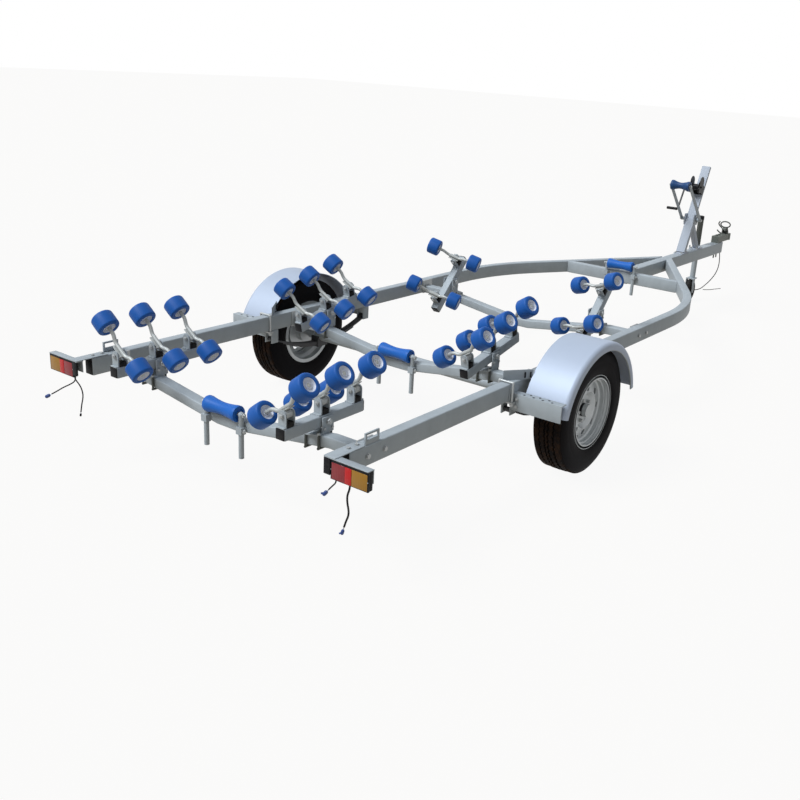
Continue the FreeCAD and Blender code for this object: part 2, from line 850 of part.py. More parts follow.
def build_mudguards():
    width = S.guard_width
    outer = S.guard_radius
    skin = S.guard_sheet
    angle = 180 - S.guard_rear_angle - S.guard_front_angle
    shell = turned("guard_shell", [
        (0, outer - skin), (0, outer), (width, outer), (width, outer - S.guard_lip),
        (width - skin, outer - S.guard_lip), (width - skin, outer - skin)], angle)

    def arc_at(x, radius):
        def test(edge):
            box = edge.BoundBox
            curve = edge.Curve
            round_edge = hasattr(curve, "Radius") and abs(curve.Radius - radius) < 0.05
            return round_edge and box.XLength < 0.01 and abs(box.XMin - x) < 0.05
        return test

    rounded(shell, S.guard_lip_radius, arc_at(width.number, outer.number))
    rounded(shell, S.guard_lip_radius - skin, arc_at((width - skin).number, (outer - skin).number))
    placed = linked("guard_place", shell, GUARD_INNER, along(0), S.guard_centre_height,
                    roll=S.guard_front_angle)
    right = grouped("guard_piece", [placed])
    node("mudguard_right", right)
    node("mudguard_left", mirrored("guard_other", right))


def build_mudguard_brackets():
    """Step bracket and web behind each mudguard and the arm in front of it, all from the rail."""
    rear = -(S.guard_radius - S.guard_sheet) * cosine(S.guard_rear_angle)
    back = rear - S.guard_step_length
    top = S.guard_step_height
    sheet_thick = S.guard_arm_sheet
    low = top - S.guard_step_depth
    tread = span("step_tread", (RAIL_OUTER, along(back), top - sheet_thick), (GUARD_OUTER, along(rear), top))
    riser = span("step_riser", (RAIL_OUTER, along(back), low), (GUARD_OUTER, along(back + sheet_thick), top))
    gusset = span("step_gusset", (RAIL_OUTER, along(back), low), (RAIL_OUTER + sheet_thick, along(rear), top))
    flange = span("step_flange", (RAIL_OUTER, along(UBOLT_PLACE - S.keeper_width / 2), RAIL_LOW),
                  (RAIL_OUTER + sheet_thick, along(rear), top + S.guard_gusset_rise))
    step = fused("step_right", [tread, riser, gusset, flange])
    web = padded("step_web", "XY_Plane", [
        (S.rail_inner_half, -S.web_rear), (GUARD_INNER - S.web_gap, -S.web_front),
        (GUARD_INNER - S.web_gap, sheet_thick - S.web_front), (S.rail_inner_half, sheet_thick - S.web_rear)],
        S.web_height)
    put(web, 0, along(0), S.rail_top)
    front = S.guard_radius * cosine(S.guard_front_angle) + S.bolt_seat
    height = S.guard_centre_height + S.guard_radius * sine(S.guard_front_angle)
    arm = span("front_arm", (RAIL_OUTER, along(front), height),
               (GUARD_OUTER - S.guard_lip, along(front + sheet_thick), height + S.guard_arm_width))
    tab = span("front_tab", (RAIL_OUTER, along(front), height),
               (RAIL_OUTER + sheet_thick, along(front + S.guard_arm_width), S.rail_top - sheet_thick))
    front_arm = fused("front_arm_right", [arm, tab])
    node("mudguard_brackets", grouped("guard_brackets", [
        step, mirrored("step_left", step), web, mirrored("web_left", web),
        front_arm, mirrored("front_arm_left", front_arm)]))


def build_lamps():
    inner = S.rail_inner_half + S.lamp_offset
    outer = inner + S.lamp_width
    rear = along(-S.rear_overhang)
    lens_back = rear + S.lens_thick
    back = lens_back + S.lamp_thick
    top = S.rail_top - S.bracket_sheet
    low = top - S.lamp_height
    housing = span("lamp_box", (inner, lens_back, low), (outer, back, top))
    right = grouped("lamp_piece", [housing])
    node("lamp_housings", grouped("lamps", [right, mirrored("lamp_left", right)]))
    left_edge = inner + S.lens_border
    right_edge = outer - S.lens_border
    reach = right_edge - left_edge
    red_end = left_edge + reach * S.lens_red_share
    bright_end = red_end + reach * S.lens_bright_share
    z_low = low + S.lens_border
    z_high = top - S.lens_border
    red = span("lens_red", (left_edge, rear, z_low), (red_end, lens_back, z_high))
    bright = span("lens_bright", (red_end + S.lens_joint, rear, z_low), (bright_end, lens_back, z_high))
    amber = span("lens_amber", (bright_end + S.lens_joint, rear, z_low), (right_edge, lens_back, z_high))
    node("lamp_lenses_red", grouped("lenses_red", [
        red, bright, mirrored("red_left", red), mirrored("bright_left", bright)]))
    node("lamp_lenses_amber", grouped("lenses_amber", [amber, mirrored("amber_left", amber)]))
    flange = span("lamp_flange", (S.rail_inner_half, along(-S.rear_overhang), top),
                  (outer, along(-S.rear_overhang + S.bracket_flange), S.rail_top))
    riser = span("lamp_riser", (S.rail_inner_half, back, low + S.lamp_height / 3),
                 (outer, back + S.bracket_sheet, top))
    strip_front = -S.loop_front - S.loop_length - S.strip_gap
    strip = span("rail_strip", (S.rail_inner_half, along(-S.rear_overhang), S.rail_top),
                 (RAIL_OUTER, along(strip_front), S.rail_top + S.bracket_sheet))
    bracket = fused("bracket_right", [flange, riser, strip])
    node("lamp_brackets", grouped("brackets", [bracket, mirrored("bracket_left", bracket)]))


def build_tie_loops():
    """Plates with a slot on the rails' outer edges, where the boat is tied down."""
    x = RAIL_OUTER - S.loop_inset - S.loop_thick
    rear, front = -S.loop_front - S.loop_length, -S.loop_front
    top = S.rail_top + S.loop_height
    plate = span("loop_plate", (x, along(rear), S.rail_top), (x + S.loop_thick, along(front), top))
    slot = span("loop_slot", (x - S.overcut, along(rear + S.loop_bar), top - S.loop_bar - S.loop_slot),
                (x + S.loop_thick + S.overcut, along(front - S.loop_bar), top - S.loop_bar))
    loop = cut("tie_loop", plate, slot)
    node("tie_down_loops", grouped("loops", [loop, mirrored("tie_loop_left", loop)]))


KEEL_PLACES = {
    "rear": (-S.cross_rear - S.cross_width / 2, S.keel_axle_height, S.keel_stem_foot),
    "middle": (-S.cross_middle - S.cross_width / 2, S.keel_axle_height, S.keel_stem_foot),
    "front": (S.nose_rear, S.keel_front_height, S.keel_front_foot)}


def hourglass(name, half, end_radius, waist_radius, bore):
    """A keel or bow roller with flat ends, two cones and a narrow waist."""
    edge = S.keel_edge
    side = [(half, bore), (half, end_radius - edge), (half - edge, end_radius),
            (half * S.keel_lip_share, end_radius), (half * S.keel_neck_share, waist_radius)]
    return turned(name, side + [(-x, radius) for x, radius in reversed(side)])


def build_keel_rollers():
    """Hourglass rollers on their axles, each carried by two stems bolted to a crossmember."""
    shape = hourglass("keel_shape", S.keel_half, S.keel_end_radius, S.keel_waist_radius,
                      S.keel_axle_radius + S.running_clearance)
    stem_x = S.keel_half + S.keel_stem_radius + S.running_clearance
    pieces = []
    for name, (face, height, foot) in KEEL_PLACES.items():
        y = along(face - S.keel_stem_radius - S.bolt_seat)
        place = linked(f"keel_place_{name}", shape, 0, y, height)
        node(f"keel_roller_{name}", grouped(f"keel_{name}", [place]))
        parts = [rod(f"keel_axle_{name}", (-stem_x, y, height), "x", S.keel_axle_radius, 2 * stem_x)]
        clamp_top = height - S.keel_end_radius - S.keel_clamp / 2
        for side, sign in (("left", -1), ("right", 1)):
            parts.append(rod(f"stem_{name}_{side}", (sign * stem_x, y, foot), "z", S.keel_stem_radius,
                             height - foot))
            parts.append(ball(f"stem_eye_{name}_{side}", (sign * stem_x, y, height),
                              S.keel_stem_radius + S.keel_eye_rim))
            parts.append(span(
                f"stem_clamp_{name}_{side}",
                (sign * stem_x - S.keel_clamp / 2, y - S.keel_stem_radius - S.keel_clamp_wall,
                 clamp_top - S.keel_clamp),
                (sign * stem_x + S.keel_clamp / 2, along(face), clamp_top)))
        pieces.append(fused(f"stems_{name}", parts))
    node("keel_roller_stems", grouped("stems", pieces))


SETS = {
    "rear": {"across": S.rail_inner_half - S.rear_set_inset, "pin": -S.rear_set_pin,
             "height": S.rear_set_height, "lean": S.rear_set_lean, "pitch": S.rear_set_pitch,
             "length": S.beam_length, "rockers": (-1, 0, 1), "spacing": S.rocker_pitch, "shift": 0},
    "middle": {"across": S.rail_inner_half - S.middle_set_inset, "pin": -S.middle_set_pin,
               "height": S.middle_set_height, "lean": S.middle_set_lean, "pitch": S.middle_set_pitch,
               "length": S.beam_length, "rockers": (-1, 0, 1), "spacing": S.rocker_pitch, "shift": 0},
    "forward": {"across": S.rail_inner_half - S.front_set_inset, "pin": S.front_set_pin,
                "height": S.front_set_height, "lean": S.front_set_lean, "pitch": S.front_set_pitch,
                "length": S.front_beam_length, "rockers": (-0.5, 0.5), "spacing": S.front_rocker_pitch,
                "shift": S.front_set_shift}}


def build_wobble_roller():
    """One wobble roller about the X axis: rounded edges, a recess at each face and a bore."""
    half = S.roller_length / 2
    bore = S.arm_radius + S.running_clearance
    floor = half - S.roller_recess
    recess = S.roller_recess_radius
    body = turned("wobble_roller", [
        (-floor, bore), (floor, bore), (floor, recess), (half, recess), (half, S.roller_radius),
        (-half, S.roller_radius), (-half, recess), (-floor, recess)])
    for side in (-1, 1):
        rounded(body, S.roller_edge, circle_at(side * half.number, S.roller_radius.number))
    return body


def build_rocker_arm():
    """Bent round arm in its own plane, with the sleeve at its middle and a cap at each end."""
    half = S.roller_length / 2
    tip = S.roller_spread + half + S.running_clearance
    line = [(-tip, S.arm_bow), (-S.arm_kink, S.arm_bow), (-S.arm_flat, 0),
            (S.arm_flat, 0), (S.arm_kink, S.arm_bow), (tip, S.arm_bow)]
    parts = [strut(f"arm_run_{index}", first, second, S.arm_radius)
             for index, (first, second) in enumerate(zip(line, line[1:]))]
    parts += [ball(f"arm_bend_{index}", (x, 0, z), S.arm_radius + S.weld_bead)
              for index, (x, z) in enumerate(line[1:-1])]
    cap = S.arm_radius + S.arm_cap_rim
    parts.append(rod("arm_cap_left", (-tip - S.arm_cap, 0, S.arm_bow), "x", cap, S.arm_cap))
    parts.append(rod("arm_cap_right", (tip, 0, S.arm_bow), "x", cap, S.arm_cap))
    parts.append(rod("arm_sleeve", (0, -S.sleeve_length / 2, 0), "y", S.sleeve_radius, S.sleeve_length))
    return fused("rocker_arm", parts)


def build_roller_sets():
    """Beams on hinge pins, each with its rocker arms and wobble rollers, and their pedestals."""
    roller = build_wobble_roller()
    arm = build_rocker_arm()
    pedestals = []
    for name, place in SETS.items():
        lean, spacing, length = place["lean"], place["spacing"], place["length"]
        half_tube = S.beam_tube / 2
        shift = as_size(place["shift"])
        tube = span(f"beam_tube_{name}", (-half_tube, shift - length / 2, -half_tube),
                    (half_tube, shift + length / 2, half_tube))
        hole = rod(f"beam_hole_{name}", (-S.beam_tube, 0, 0), "x",
                   S.beam_pin_radius + S.running_clearance, S.beam_tube * 2)
        parts = [cut(f"beam_bored_{name}", tube, hole)]
        rollers = []
        for index, step in enumerate(place["rockers"]):
            v = shift + spacing * step
            parts.append(linked(f"arm_{name}_{index}", arm, 0, v, S.rocker_height, pitch=-lean))
            for end, sign in ENDS:
                edge = v + sign * S.sleeve_length / 2
                low, high = (edge - S.cheek_sheet, edge) if sign < 0 else (edge, edge + S.cheek_sheet)
                parts.append(span(f"cheek_{name}_{index}_{end}", (-S.cheek_width / 2, low, half_tube),
                                  (S.cheek_width / 2, high, S.rocker_height + S.sleeve_radius + S.cheek_rim)))
            for end, sign in (("inner", -1), ("outer", 1)):
                reach = sign * S.roller_spread
                x = reach * cosine(lean) - S.arm_bow * sine(lean)
                z = S.rocker_height + reach * sine(lean) + S.arm_bow * cosine(lean)
                rollers.append(linked(f"roller_{name}_{index}_{end}", roller, x, v, z, pitch=-lean))
        where = {"x": place["across"], "y": along(place["pin"]), "z": place["height"], "roll": place["pitch"]}
        beam = put(fused(f"beam_{name}", parts), **where)
        group = put(grouped(f"rollers_{name}", rollers), **where)
        beam_right = node(f"roller_beam_{name}_right", beam)
        rollers_right = node(f"rollers_{name}_right", group)
        node(f"roller_beam_{name}_left", mirrored(f"beam_{name}_left", beam_right))
        node(f"rollers_{name}_left", mirrored(f"rollers_{name}_left_side", rollers_right))
        pedestals += build_pedestal(name, place)
    node("beam_pedestals", grouped("pedestals", pedestals))


def build_pedestal(name, place):
    """Saddle on the crossmember with two cheeks and the pin that the beam turns on."""
    x, y, z = place["across"], along(place["pin"]), place["height"]
    flat = S.rail_inner_half - S.cross_end_flat
    slope = S.cross_dip / (flat - S.cross_dip_half)
    sheet_thick = S.saddle_sheet
    gap = S.beam_tube / 2 + S.moving_clearance
    seat = S.rail_top - S.rail_depth + S.cross_depth
    low = seat - (flat - (x - gap - sheet_thick)) * slope
    reach = gap + sheet_thick
    top = z + S.beam_pin_radius + S.saddle_rim
    cheeks = [
        span(f"saddle_in_{name}", (x - reach, y - S.saddle_cheek / 2, low + sheet_thick / 2),
             (x - gap, y + S.saddle_cheek / 2, top)),
        span(f"saddle_out_{name}",
             (x + gap, y - S.saddle_cheek / 2, low + 2 * reach * slope + sheet_thick / 2),
             (x + reach, y + S.saddle_cheek / 2, top))]
    foot = padded(f"saddle_foot_{name}", "XZ_Plane", [
        (-reach, low - seat), (reach, low + 2 * reach * slope - seat),
        (reach, low + 2 * reach * slope + sheet_thick - seat), (-reach, low + sheet_thick - seat)],
        S.saddle_foot)
    put(foot, x, along(CROSSMEMBERS[name]) + S.saddle_foot / 2, seat)
    pin_half = reach + S.pin_end
    pin = rod(f"hinge_pin_{name}", (x - pin_half, y, z), "x", S.beam_pin_radius, 2 * pin_half)
    right_side = fused(f"pedestal_{name}", cheeks + [foot, pin])
    return [right_side, mirrored(f"pedestal_left_{name}", right_side)]


def build_winch_post():
    """Leaning post, brace, joint plates and base plates; gives the joint and the post's slope."""
    base = S.drawbar_top + S.base_plate_sheet
    joint = (along(POST_BASE + S.joint_lead), S.joint_height)
    angle = slope_angle(joint[1] - base, S.joint_lead)
    post = bar("post_tube", 0, (along(POST_BASE), base), joint, S.post_width, S.post_depth)
    brace_end = (joint[0] + S.brace_tuck_along, joint[1] - S.brace_tuck_down)
    brace = bar("brace_tube", 0, (along(BRACE_BASE), base), brace_end, S.brace_width, S.brace_width)
    half = S.drawbar_width / 2
    plates = []
    for name, place in (("post", POST_BASE), ("brace", BRACE_BASE)):
        plates.append(span(f"base_plate_{name}",
                           (-half, along(place - S.base_plate_length / 2), S.drawbar_top),
                           (half, along(place + S.base_plate_length / 2), base)))
    side = S.joint_plate_side
    keep = span("post_keep", (-S.drawbar_width, along(POST_BASE - S.base_plate_length), S.drawbar_top),
                (S.drawbar_width, along(BRACE_BASE + S.base_plate_length), S.joint_height + side))
    for name, x in (("left", -S.post_width / 2 - S.joint_plate), ("right", S.post_width / 2)):
        plates.append(span(f"joint_plate_{name}", (x, joint[0] - side / 2, joint[1] - side / 2),
                           (x + S.joint_plate, joint[0] + side / 2, joint[1] + side / 2)))
    whole = fused("post_whole", [post, brace] + plates)
    node("winch_post", grouped("post_piece", [common("post_kept", [whole, keep])]))
    return joint, angle


def on_mast(joint, angle, lift, offset):
    """The point at a distance up the mast from the joint and at an offset to its rear."""
    lift, offset = as_size(lift), as_size(offset)
    return (joint[0] + lift * cosine(angle) - offset * sine(angle),
            joint[1] + lift * sine(angle) + offset * cosine(angle))


def build_mast(joint, angle):
    """Flat mast that carries on from the post, held between the joint plates."""
    top = on_mast(joint, angle, S.mast_length, 0)
    node("bow_stop", grouped("mast_piece", [bar("mast_bar", 0, joint, top, S.post_width, S.mast_depth)]))


def build_bow_roller(joint):
    """Fork arms from the joint up to the bow roller and its axle."""
    arm_x = S.bow_half + S.running_clearance + S.arm_plate / 2
    bow = (along(POST_BASE - S.bow_inset), S.bow_height)
    parts = [rod("bow_axle", (-arm_x, bow[0], bow[1]), "x", S.bow_axle_radius, 2 * arm_x)]
    plate_side = S.post_width / 2 + S.joint_plate
    for side, sign in (("left", -1), ("right", 1)):
        parts.append(bar(f"fork_arm_{side}", sign * arm_x, joint, bow, S.arm_plate, S.arm_plate_width))
        parts.append(rod(f"fork_eye_{side}", (sign * arm_x - S.arm_plate / 2, bow[0], bow[1]), "x",
                         S.arm_plate_width / 2, S.arm_plate))
        spacer_start = plate_side if sign > 0 else -arm_x
        parts.append(rod(f"fork_spacer_{side}", (spacer_start, joint[0], joint[1]), "x", S.spacer_radius,
                         arm_x - plate_side))
    node("winch_arms", grouped("arms_piece", [fused("bow_fork", parts)]))
    shape = hourglass("bow_shape", S.bow_half, S.bow_end_radius, S.bow_waist_radius,
                      S.bow_axle_radius + S.running_clearance)
    node("bow_roller", grouped("bow_piece", [linked("bow_place", shape, 0, *bow)]))


def build_winch(joint, angle):
    """Winch frame bolted to the mast, the drum with its crank, and the crank's grip."""
    y, z = on_mast(joint, angle, S.winch_lift, S.winch_offset)
    half = S.winch_half
    plate = S.winch_plate
    side = S.winch_plate_side
    low = S.winch_lift - side / 2
    high = S.winch_lift + side / 2
    seat = S.mast_depth / 2 + plate
    lug = bar("winch_lug", 0, on_mast(joint, angle, low, seat), on_mast(joint, angle, high, seat),
              2 * (half + plate), 2 * plate)
    parts = [lug]
    reach = S.winch_offset + side / 2
    for name, sign in (("left", -1), ("right", 1)):
        parts.append(bar(f"winch_side_{name}", sign * (half + plate / 2),
                         on_mast(joint, angle, low, (reach + seat) / 2),
                         on_mast(joint, angle, high, (reach + seat) / 2), plate, reach - seat))
    bores = rod("winch_bore", (-2 * half, y, z), "x", S.winch_axle_radius + S.running_clearance, 4 * half)
    node("winch_frame", grouped("winch_piece", [cut("winch_opened", fused("winch_body", parts), bores)]))
    inside = half - S.drum_side_gap
    axle = rod("winch_axle", (-S.crank_offset, y, z), "x", S.winch_axle_radius,
               S.crank_offset + half + 2 * S.winch_axle_radius)
    core = rod("winch_core", (-inside, y, z), "x", S.drum_core, 2 * inside)
    flanges = [rod("drum_flange_left", (-inside, y, z), "x", S.drum_flange, plate),
               rod("drum_flange_right", (inside - plate, y, z), "x", S.drum_flange, plate)]
    crank_end = (y - S.crank_reach * sine(S.crank_angle), z - S.crank_reach * cosine(S.crank_angle))
    crank = bar("crank_bar", -S.crank_offset, (y, z), crank_end, S.crank_bar, S.crank_bar * 2)
    hub = rod("crank_hub", (-S.crank_offset - S.crank_bar / 2, y, z), "x", S.crank_hub_radius, S.crank_bar)
    pin_radius = S.grip_radius / 2
    grip_pin = rod("grip_pin", (-S.crank_offset - S.grip_length, crank_end[0], crank_end[1]), "x",
                   pin_radius, S.grip_length)
    drum = fused("drum_whole", [axle, core, crank, hub, grip_pin] + flanges)
    node("winch_drum", grouped("drum_piece", [drum]))
    grip_end = S.crank_offset + S.crank_bar / 2
    grip = rod("grip_tube", (-grip_end - S.grip_length, crank_end[0], crank_end[1]), "x",
               S.grip_radius, S.grip_length)
    hollow = rod("grip_hollow", (-grip_end - S.grip_length * 1.1, crank_end[0], crank_end[1]), "x",
                 pin_radius + S.grip_clearance, S.grip_length * 1.2)
    node("winch_grip", grouped("grip_piece", [cut("grip_bored", grip, hollow)]))


def build_jockey_clamp(x, y):
    """Clamp on the drawbar's side, with the screw and handle that hold the leg."""
    wall = S.jockey_tube_radius + S.jockey_clamp_wall
    top = S.drawbar_top - S.jockey_clamp_drop
    low = top - S.jockey_clamp_height
    middle = low + S.jockey_clamp_height / 2
    block = span("clamp_block", (x - wall, y - wall, low), (-S.drawbar_width / 2, y + wall, top))
    bore = rod("clamp_bore", (x, y, low - S.overcut), "z", S.jockey_tube_radius + S.running_clearance,
               S.jockey_clamp_height + 2 * S.overcut)
    reach = x - wall - S.clamp_handle_reach
    screw = rod("clamp_screw", (reach, y, middle), "x", S.clamp_screw_radius,
                S.clamp_handle_reach + S.jockey_clamp_wall - S.clamp_screw_sink)
    handle = rod("clamp_handle", (reach, y, low), "z", S.clamp_screw_radius, S.jockey_clamp_height)
    opened = cut("clamp_opened", block, bore)
    node("jockey_clamp", grouped("clamp_piece", [fused("clamp_whole", [opened, screw, handle])]))


def build_jockey_fork(x, y, axle_y, crown_top):
    """Swivelling fork with its crown, two cheeks and the wheel's axle."""
    half = S.jockey_wheel_width / 2 + S.moving_clearance
    reach = half + S.fork_sheet
    axle_z = S.jockey_wheel_radius
    crown_low = crown_top - S.crown_sheet
    parts = [span("fork_crown", (x - reach, axle_y - S.fork_width / 2, crown_low),
                  (x + reach, y + S.jockey_tube_radius, crown_top))]
    for side, left in (("in", x - reach), ("out", x + half)):
        parts.append(span(f"fork_{side}", (left, axle_y - S.fork_width / 2, axle_z),
                          (left + S.fork_sheet, axle_y + S.fork_width / 2, crown_top)))
        parts.append(rod(f"fork_end_{side}", (left, axle_y, axle_z), "x", S.fork_width / 2, S.fork_sheet))
    parts.append(rod("fork_axle", (x - reach, axle_y, axle_z), "x", S.jockey_axle_radius, 2 * reach))
    eye = rod("fork_eye", (x, y, crown_low - S.overcut), "z", S.jockey_pivot_radius + S.running_clearance,
              S.crown_sheet + 2 * S.overcut)
    node("jockey_fork", grouped("fork_piece", [cut("fork_opened", fused("fork_whole", parts), eye)]))


def build_jockey_wheel(x, axle_y):
    width = S.jockey_wheel_width / 2
    radius = S.jockey_wheel_radius
    hub = S.jockey_hub_radius
    dish = width - S.jockey_dish
    edge = width - S.jockey_tyre_edge
    tyre_foot = radius - S.jockey_tyre_depth
    side = [(width, S.jockey_axle_radius + S.running_clearance), (width, hub),
            (dish, hub + S.jockey_hub_slope), (dish, tyre_foot),
            (edge, tyre_foot + S.jockey_tyre_slope), (edge, radius - S.jockey_tread_drop),
            (width - S.jockey_tread_round, radius)]
    wheel = turned("jockey_round", side + [(-across, around) for across, around in reversed(side)])
    place = linked("jockey_place", wheel, x, axle_y, radius)
    node("jockey_wheel", grouped("jockey_wheel_piece", [place]))


def build_jockey():
    """Jockey wheel: clamp on the drawbar, sliding leg, swivelling fork and wheel."""
    x, y = -S.jockey_across, along(S.front_reach - S.jockey_inset)
    tube = S.jockey_tube_radius
    crown_top = 2 * S.jockey_wheel_radius + S.moving_clearance + S.crown_sheet
    build_jockey_clamp(x, y)
    leg_low = crown_top + S.running_clearance
    leg = rod("leg_tube", (x, y, leg_low), "z", tube, S.jockey_top - leg_low)
    cap = rod("leg_cap", (x, y, S.jockey_top), "z", tube + S.jockey_cap_rim, S.jockey_cap_height)
    pivot_low = crown_top - S.crown_sheet + S.jockey_pivot_sink
    pivot = rod("leg_pivot", (x, y, pivot_low), "z", S.jockey_pivot_radius,
                leg_low - pivot_low + S.jockey_pivot_root)
    node("jockey_leg", grouped("leg_piece", [fused("leg_whole", [leg, cap, pivot])]))
    axle_y = y - S.jockey_trail
    build_jockey_fork(x, y, axle_y, crown_top)
    build_jockey_wheel(x, axle_y)


def cord_path(points):
    """Straight runs joined by tangent arcs, each as large as its two runs allow."""
    vectors = [FreeCAD.Vector(*point) for point in points]
    edges = []
    radii = []
    here = vectors[0]
    for before, corner, after in zip(vectors, vectors[1:], vectors[2:]):
        inward = (before - corner).normalize()
        outward = (after - corner).normalize()
        turn = math.pi - inward.getAngle(outward)
        reach = 0.45 * min((before - corner).Length, (after - corner).Length)
        radius = reach / math.tan(turn / 2)
        radii.append(radius)
        first = corner + inward * reach
        last = corner + outward * reach
        middle_line = (inward + outward).normalize()
        centre = corner + middle_line * (reach / math.sin(turn / 2))
        middle = centre - middle_line * radius
        edges.append(Part.LineSegment(here, first).toShape())
        edges.append(Part.Arc(first, middle, last).toShape())
        here = last
    edges.append(Part.LineSegment(here, vectors[-1]).toShape())
    return Part.Wire(edges), radii


def cord(label, points, radius):
    """A free lead: a round tube along its route, checked by its volume."""
    path, radii = cord_path(points)
    heading = path.Edges[0].tangentAt(path.Edges[0].FirstParameter)
    section = Part.Wire([Part.makeCircle(radius, FreeCAD.Vector(*points[0]), heading)])
    tube = path.makePipeShell([section], True, False)
    expected = math.pi * radius * radius * path.Length
    item = add("Part::Feature", f"{label}_tube")
    item.Shape = tube
    node(label, item)
    print(label, "length", round(path.Length, 1), "volume ratio", round(tube.Volume / expected, 4),
          "radii", [round(value, 1) for value in radii])


# Routes of the leads in millimetres, each point measured from where the lead leaves the trailer
LEFT_LONG = [(0, 0, 0), (0, 0, -22), (-22, -14, -42), (-56, -32, -62), (-86, -50, -86), (-108, -62, -101)]
LEFT_SHORT = [(0, 0, 0), (0, 0, -18), (32, 0, -36), (56, -2, -56), (58, 2, -92), (42, 0, -140),
              (36, -2, -176)]
RIGHT_SHORT = [(0, 0, 0), (0, 0, -18), (-16, -4, -36), (-30, -8, -54)]
RIGHT_LONG = [(0, 0, 0), (0, 0, -22), (-8, -5, -48), (-6, -6, -78), (3, -6, -110), (1, -6, -134),
              (-10, -6, -158), (-18, -6, -184)]
FRONT_CABLE = [(0, 0, 0), (0, 46, 0), (-14, 96, 5), (-26, 150, -14), (-30, 202, -66), (-32, 254, -156),
               (-40, 284, -250), (-66, 292, -330), (-100, 262, -396), (-136, 214, -450),
               (-150, 150, -471), (-174, 96, -472)]
FRONT_TAIL = [(0, 0, 0), (20, 14, 0), (44, 44, 0), (62, 84, 0), (80, 140, 0), (106, 196, 0)]


def moved(route, start):
    return [(start[0] + x, start[1] + y, start[2] + z) for x, y, z in route]


def build_leads():
    """Lamp leads hanging from the housings, and the front cable that lies on the floor."""
    lamp_low = (S.rail_top - S.bracket_sheet - S.lamp_height).number
    lamp_mid = along(-S.rear_overhang + S.lens_thick + S.lamp_thick / 2).number
    lead, sheath = S.lead_radius.number, S.sheath_radius.number
    inner = S.rail_inner_half + S.lamp_offset
    plugs = []

    def plug(name, route, radius, length):
        """A plug shell pushed over the end of a lead."""
        last = FreeCAD.Vector(*route[-1])
        heading = (last - FreeCAD.Vector(*route[-2])).normalize()
        item = add("Part::Feature", name)
        item.Shape = Part.makeCylinder(radius, length, last, heading)
        plugs.append(item)

    starts = {
        "lamp_lead_left_long": (LEFT_LONG, -inner - S.lead_left_inset, 0, lead),
        "lamp_lead_left_short": (LEFT_SHORT, -inner - S.short_lead_inset, S.short_lead_step.number, lead),
        "lamp_lead_right_short": (RIGHT_SHORT, inner + S.lead_right_inset, 0, lead),
        "lamp_lead_right_long": (RIGHT_LONG, inner + S.sheath_inset, 0, sheath)}
    for label, (route, across, step, radius) in starts.items():
        points = moved(route, (across.number, lamp_mid + step, lamp_low))
        cord(label, points, radius)
        if label in ("lamp_lead_left_long", "lamp_lead_right_short"):
            plug(f"plug_{label}", points, S.plug_radius.number, S.plug_length.number)
    drawbar_middle = S.drawbar_top - S.drawbar_depth / 2
    front_start = (-S.cable_exit_across.number, along(DRAWBAR_END).number,
                   (drawbar_middle + S.cable_exit_lift).number)
    front_route = moved(FRONT_CABLE, front_start)
    cord("front_cable", front_route, sheath)
    plug("plug_front_cable", front_route, (S.sheath_radius + S.cable_end_rim).number,
         S.cable_end_length.number)
    joint = front_route[-3]
    tail_start = (joint[0] + S.tail_across.number, joint[1] - S.tail_back.number,
                  (S.lead_radius + S.lead_bed).number)
    cord("front_cable_tail", moved(FRONT_TAIL, tail_start), lead)
    node("plug_shells", grouped("plugs", plugs))


build_rails()
build_crossmembers()
build_clamps()
build_drawbar()
build_coupling()
build_axle()
build_springs()
build_wheels()
build_mudguards()
build_mudguard_brackets()
build_lamps()
build_tie_loops()
build_keel_rollers()
build_roller_sets()
post_joint, post_slope = build_winch_post()
build_mast(post_joint, post_slope)
build_bow_roller(post_joint)
build_winch(post_joint, post_slope)
build_jockey()
build_leads()
doc.recompute()

for item in OBJECTS:
    if {"Invalid", "Error"} & set(item.State):
        raise RuntimeError(f"{item.Name} failed: {item.State}")
os.makedirs("parts", exist_ok=True)
for item in NODES:
    shape = item.Shape
    if shape.isNull() or not shape.isValid() or not shape.Solids:
        raise RuntimeError(f"{item.Label} has no valid solid")
    shape.exportStep(f"parts/{item.Label}.step")
print(len(NODES), "sub-parts written")
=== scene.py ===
"""Finish of a roller trailer for a boat, built around its fixed frame.

X is the trailer's right, Y is forward to the coupling, Z is up, and lengths are in metres.
Tables of points are in millimetres, and are turned to metres where they are used.
"""
import json
import math

import bmesh
import bpy
from mathutils import Matrix, Vector
from mathutils.bvhtree import BVHTree

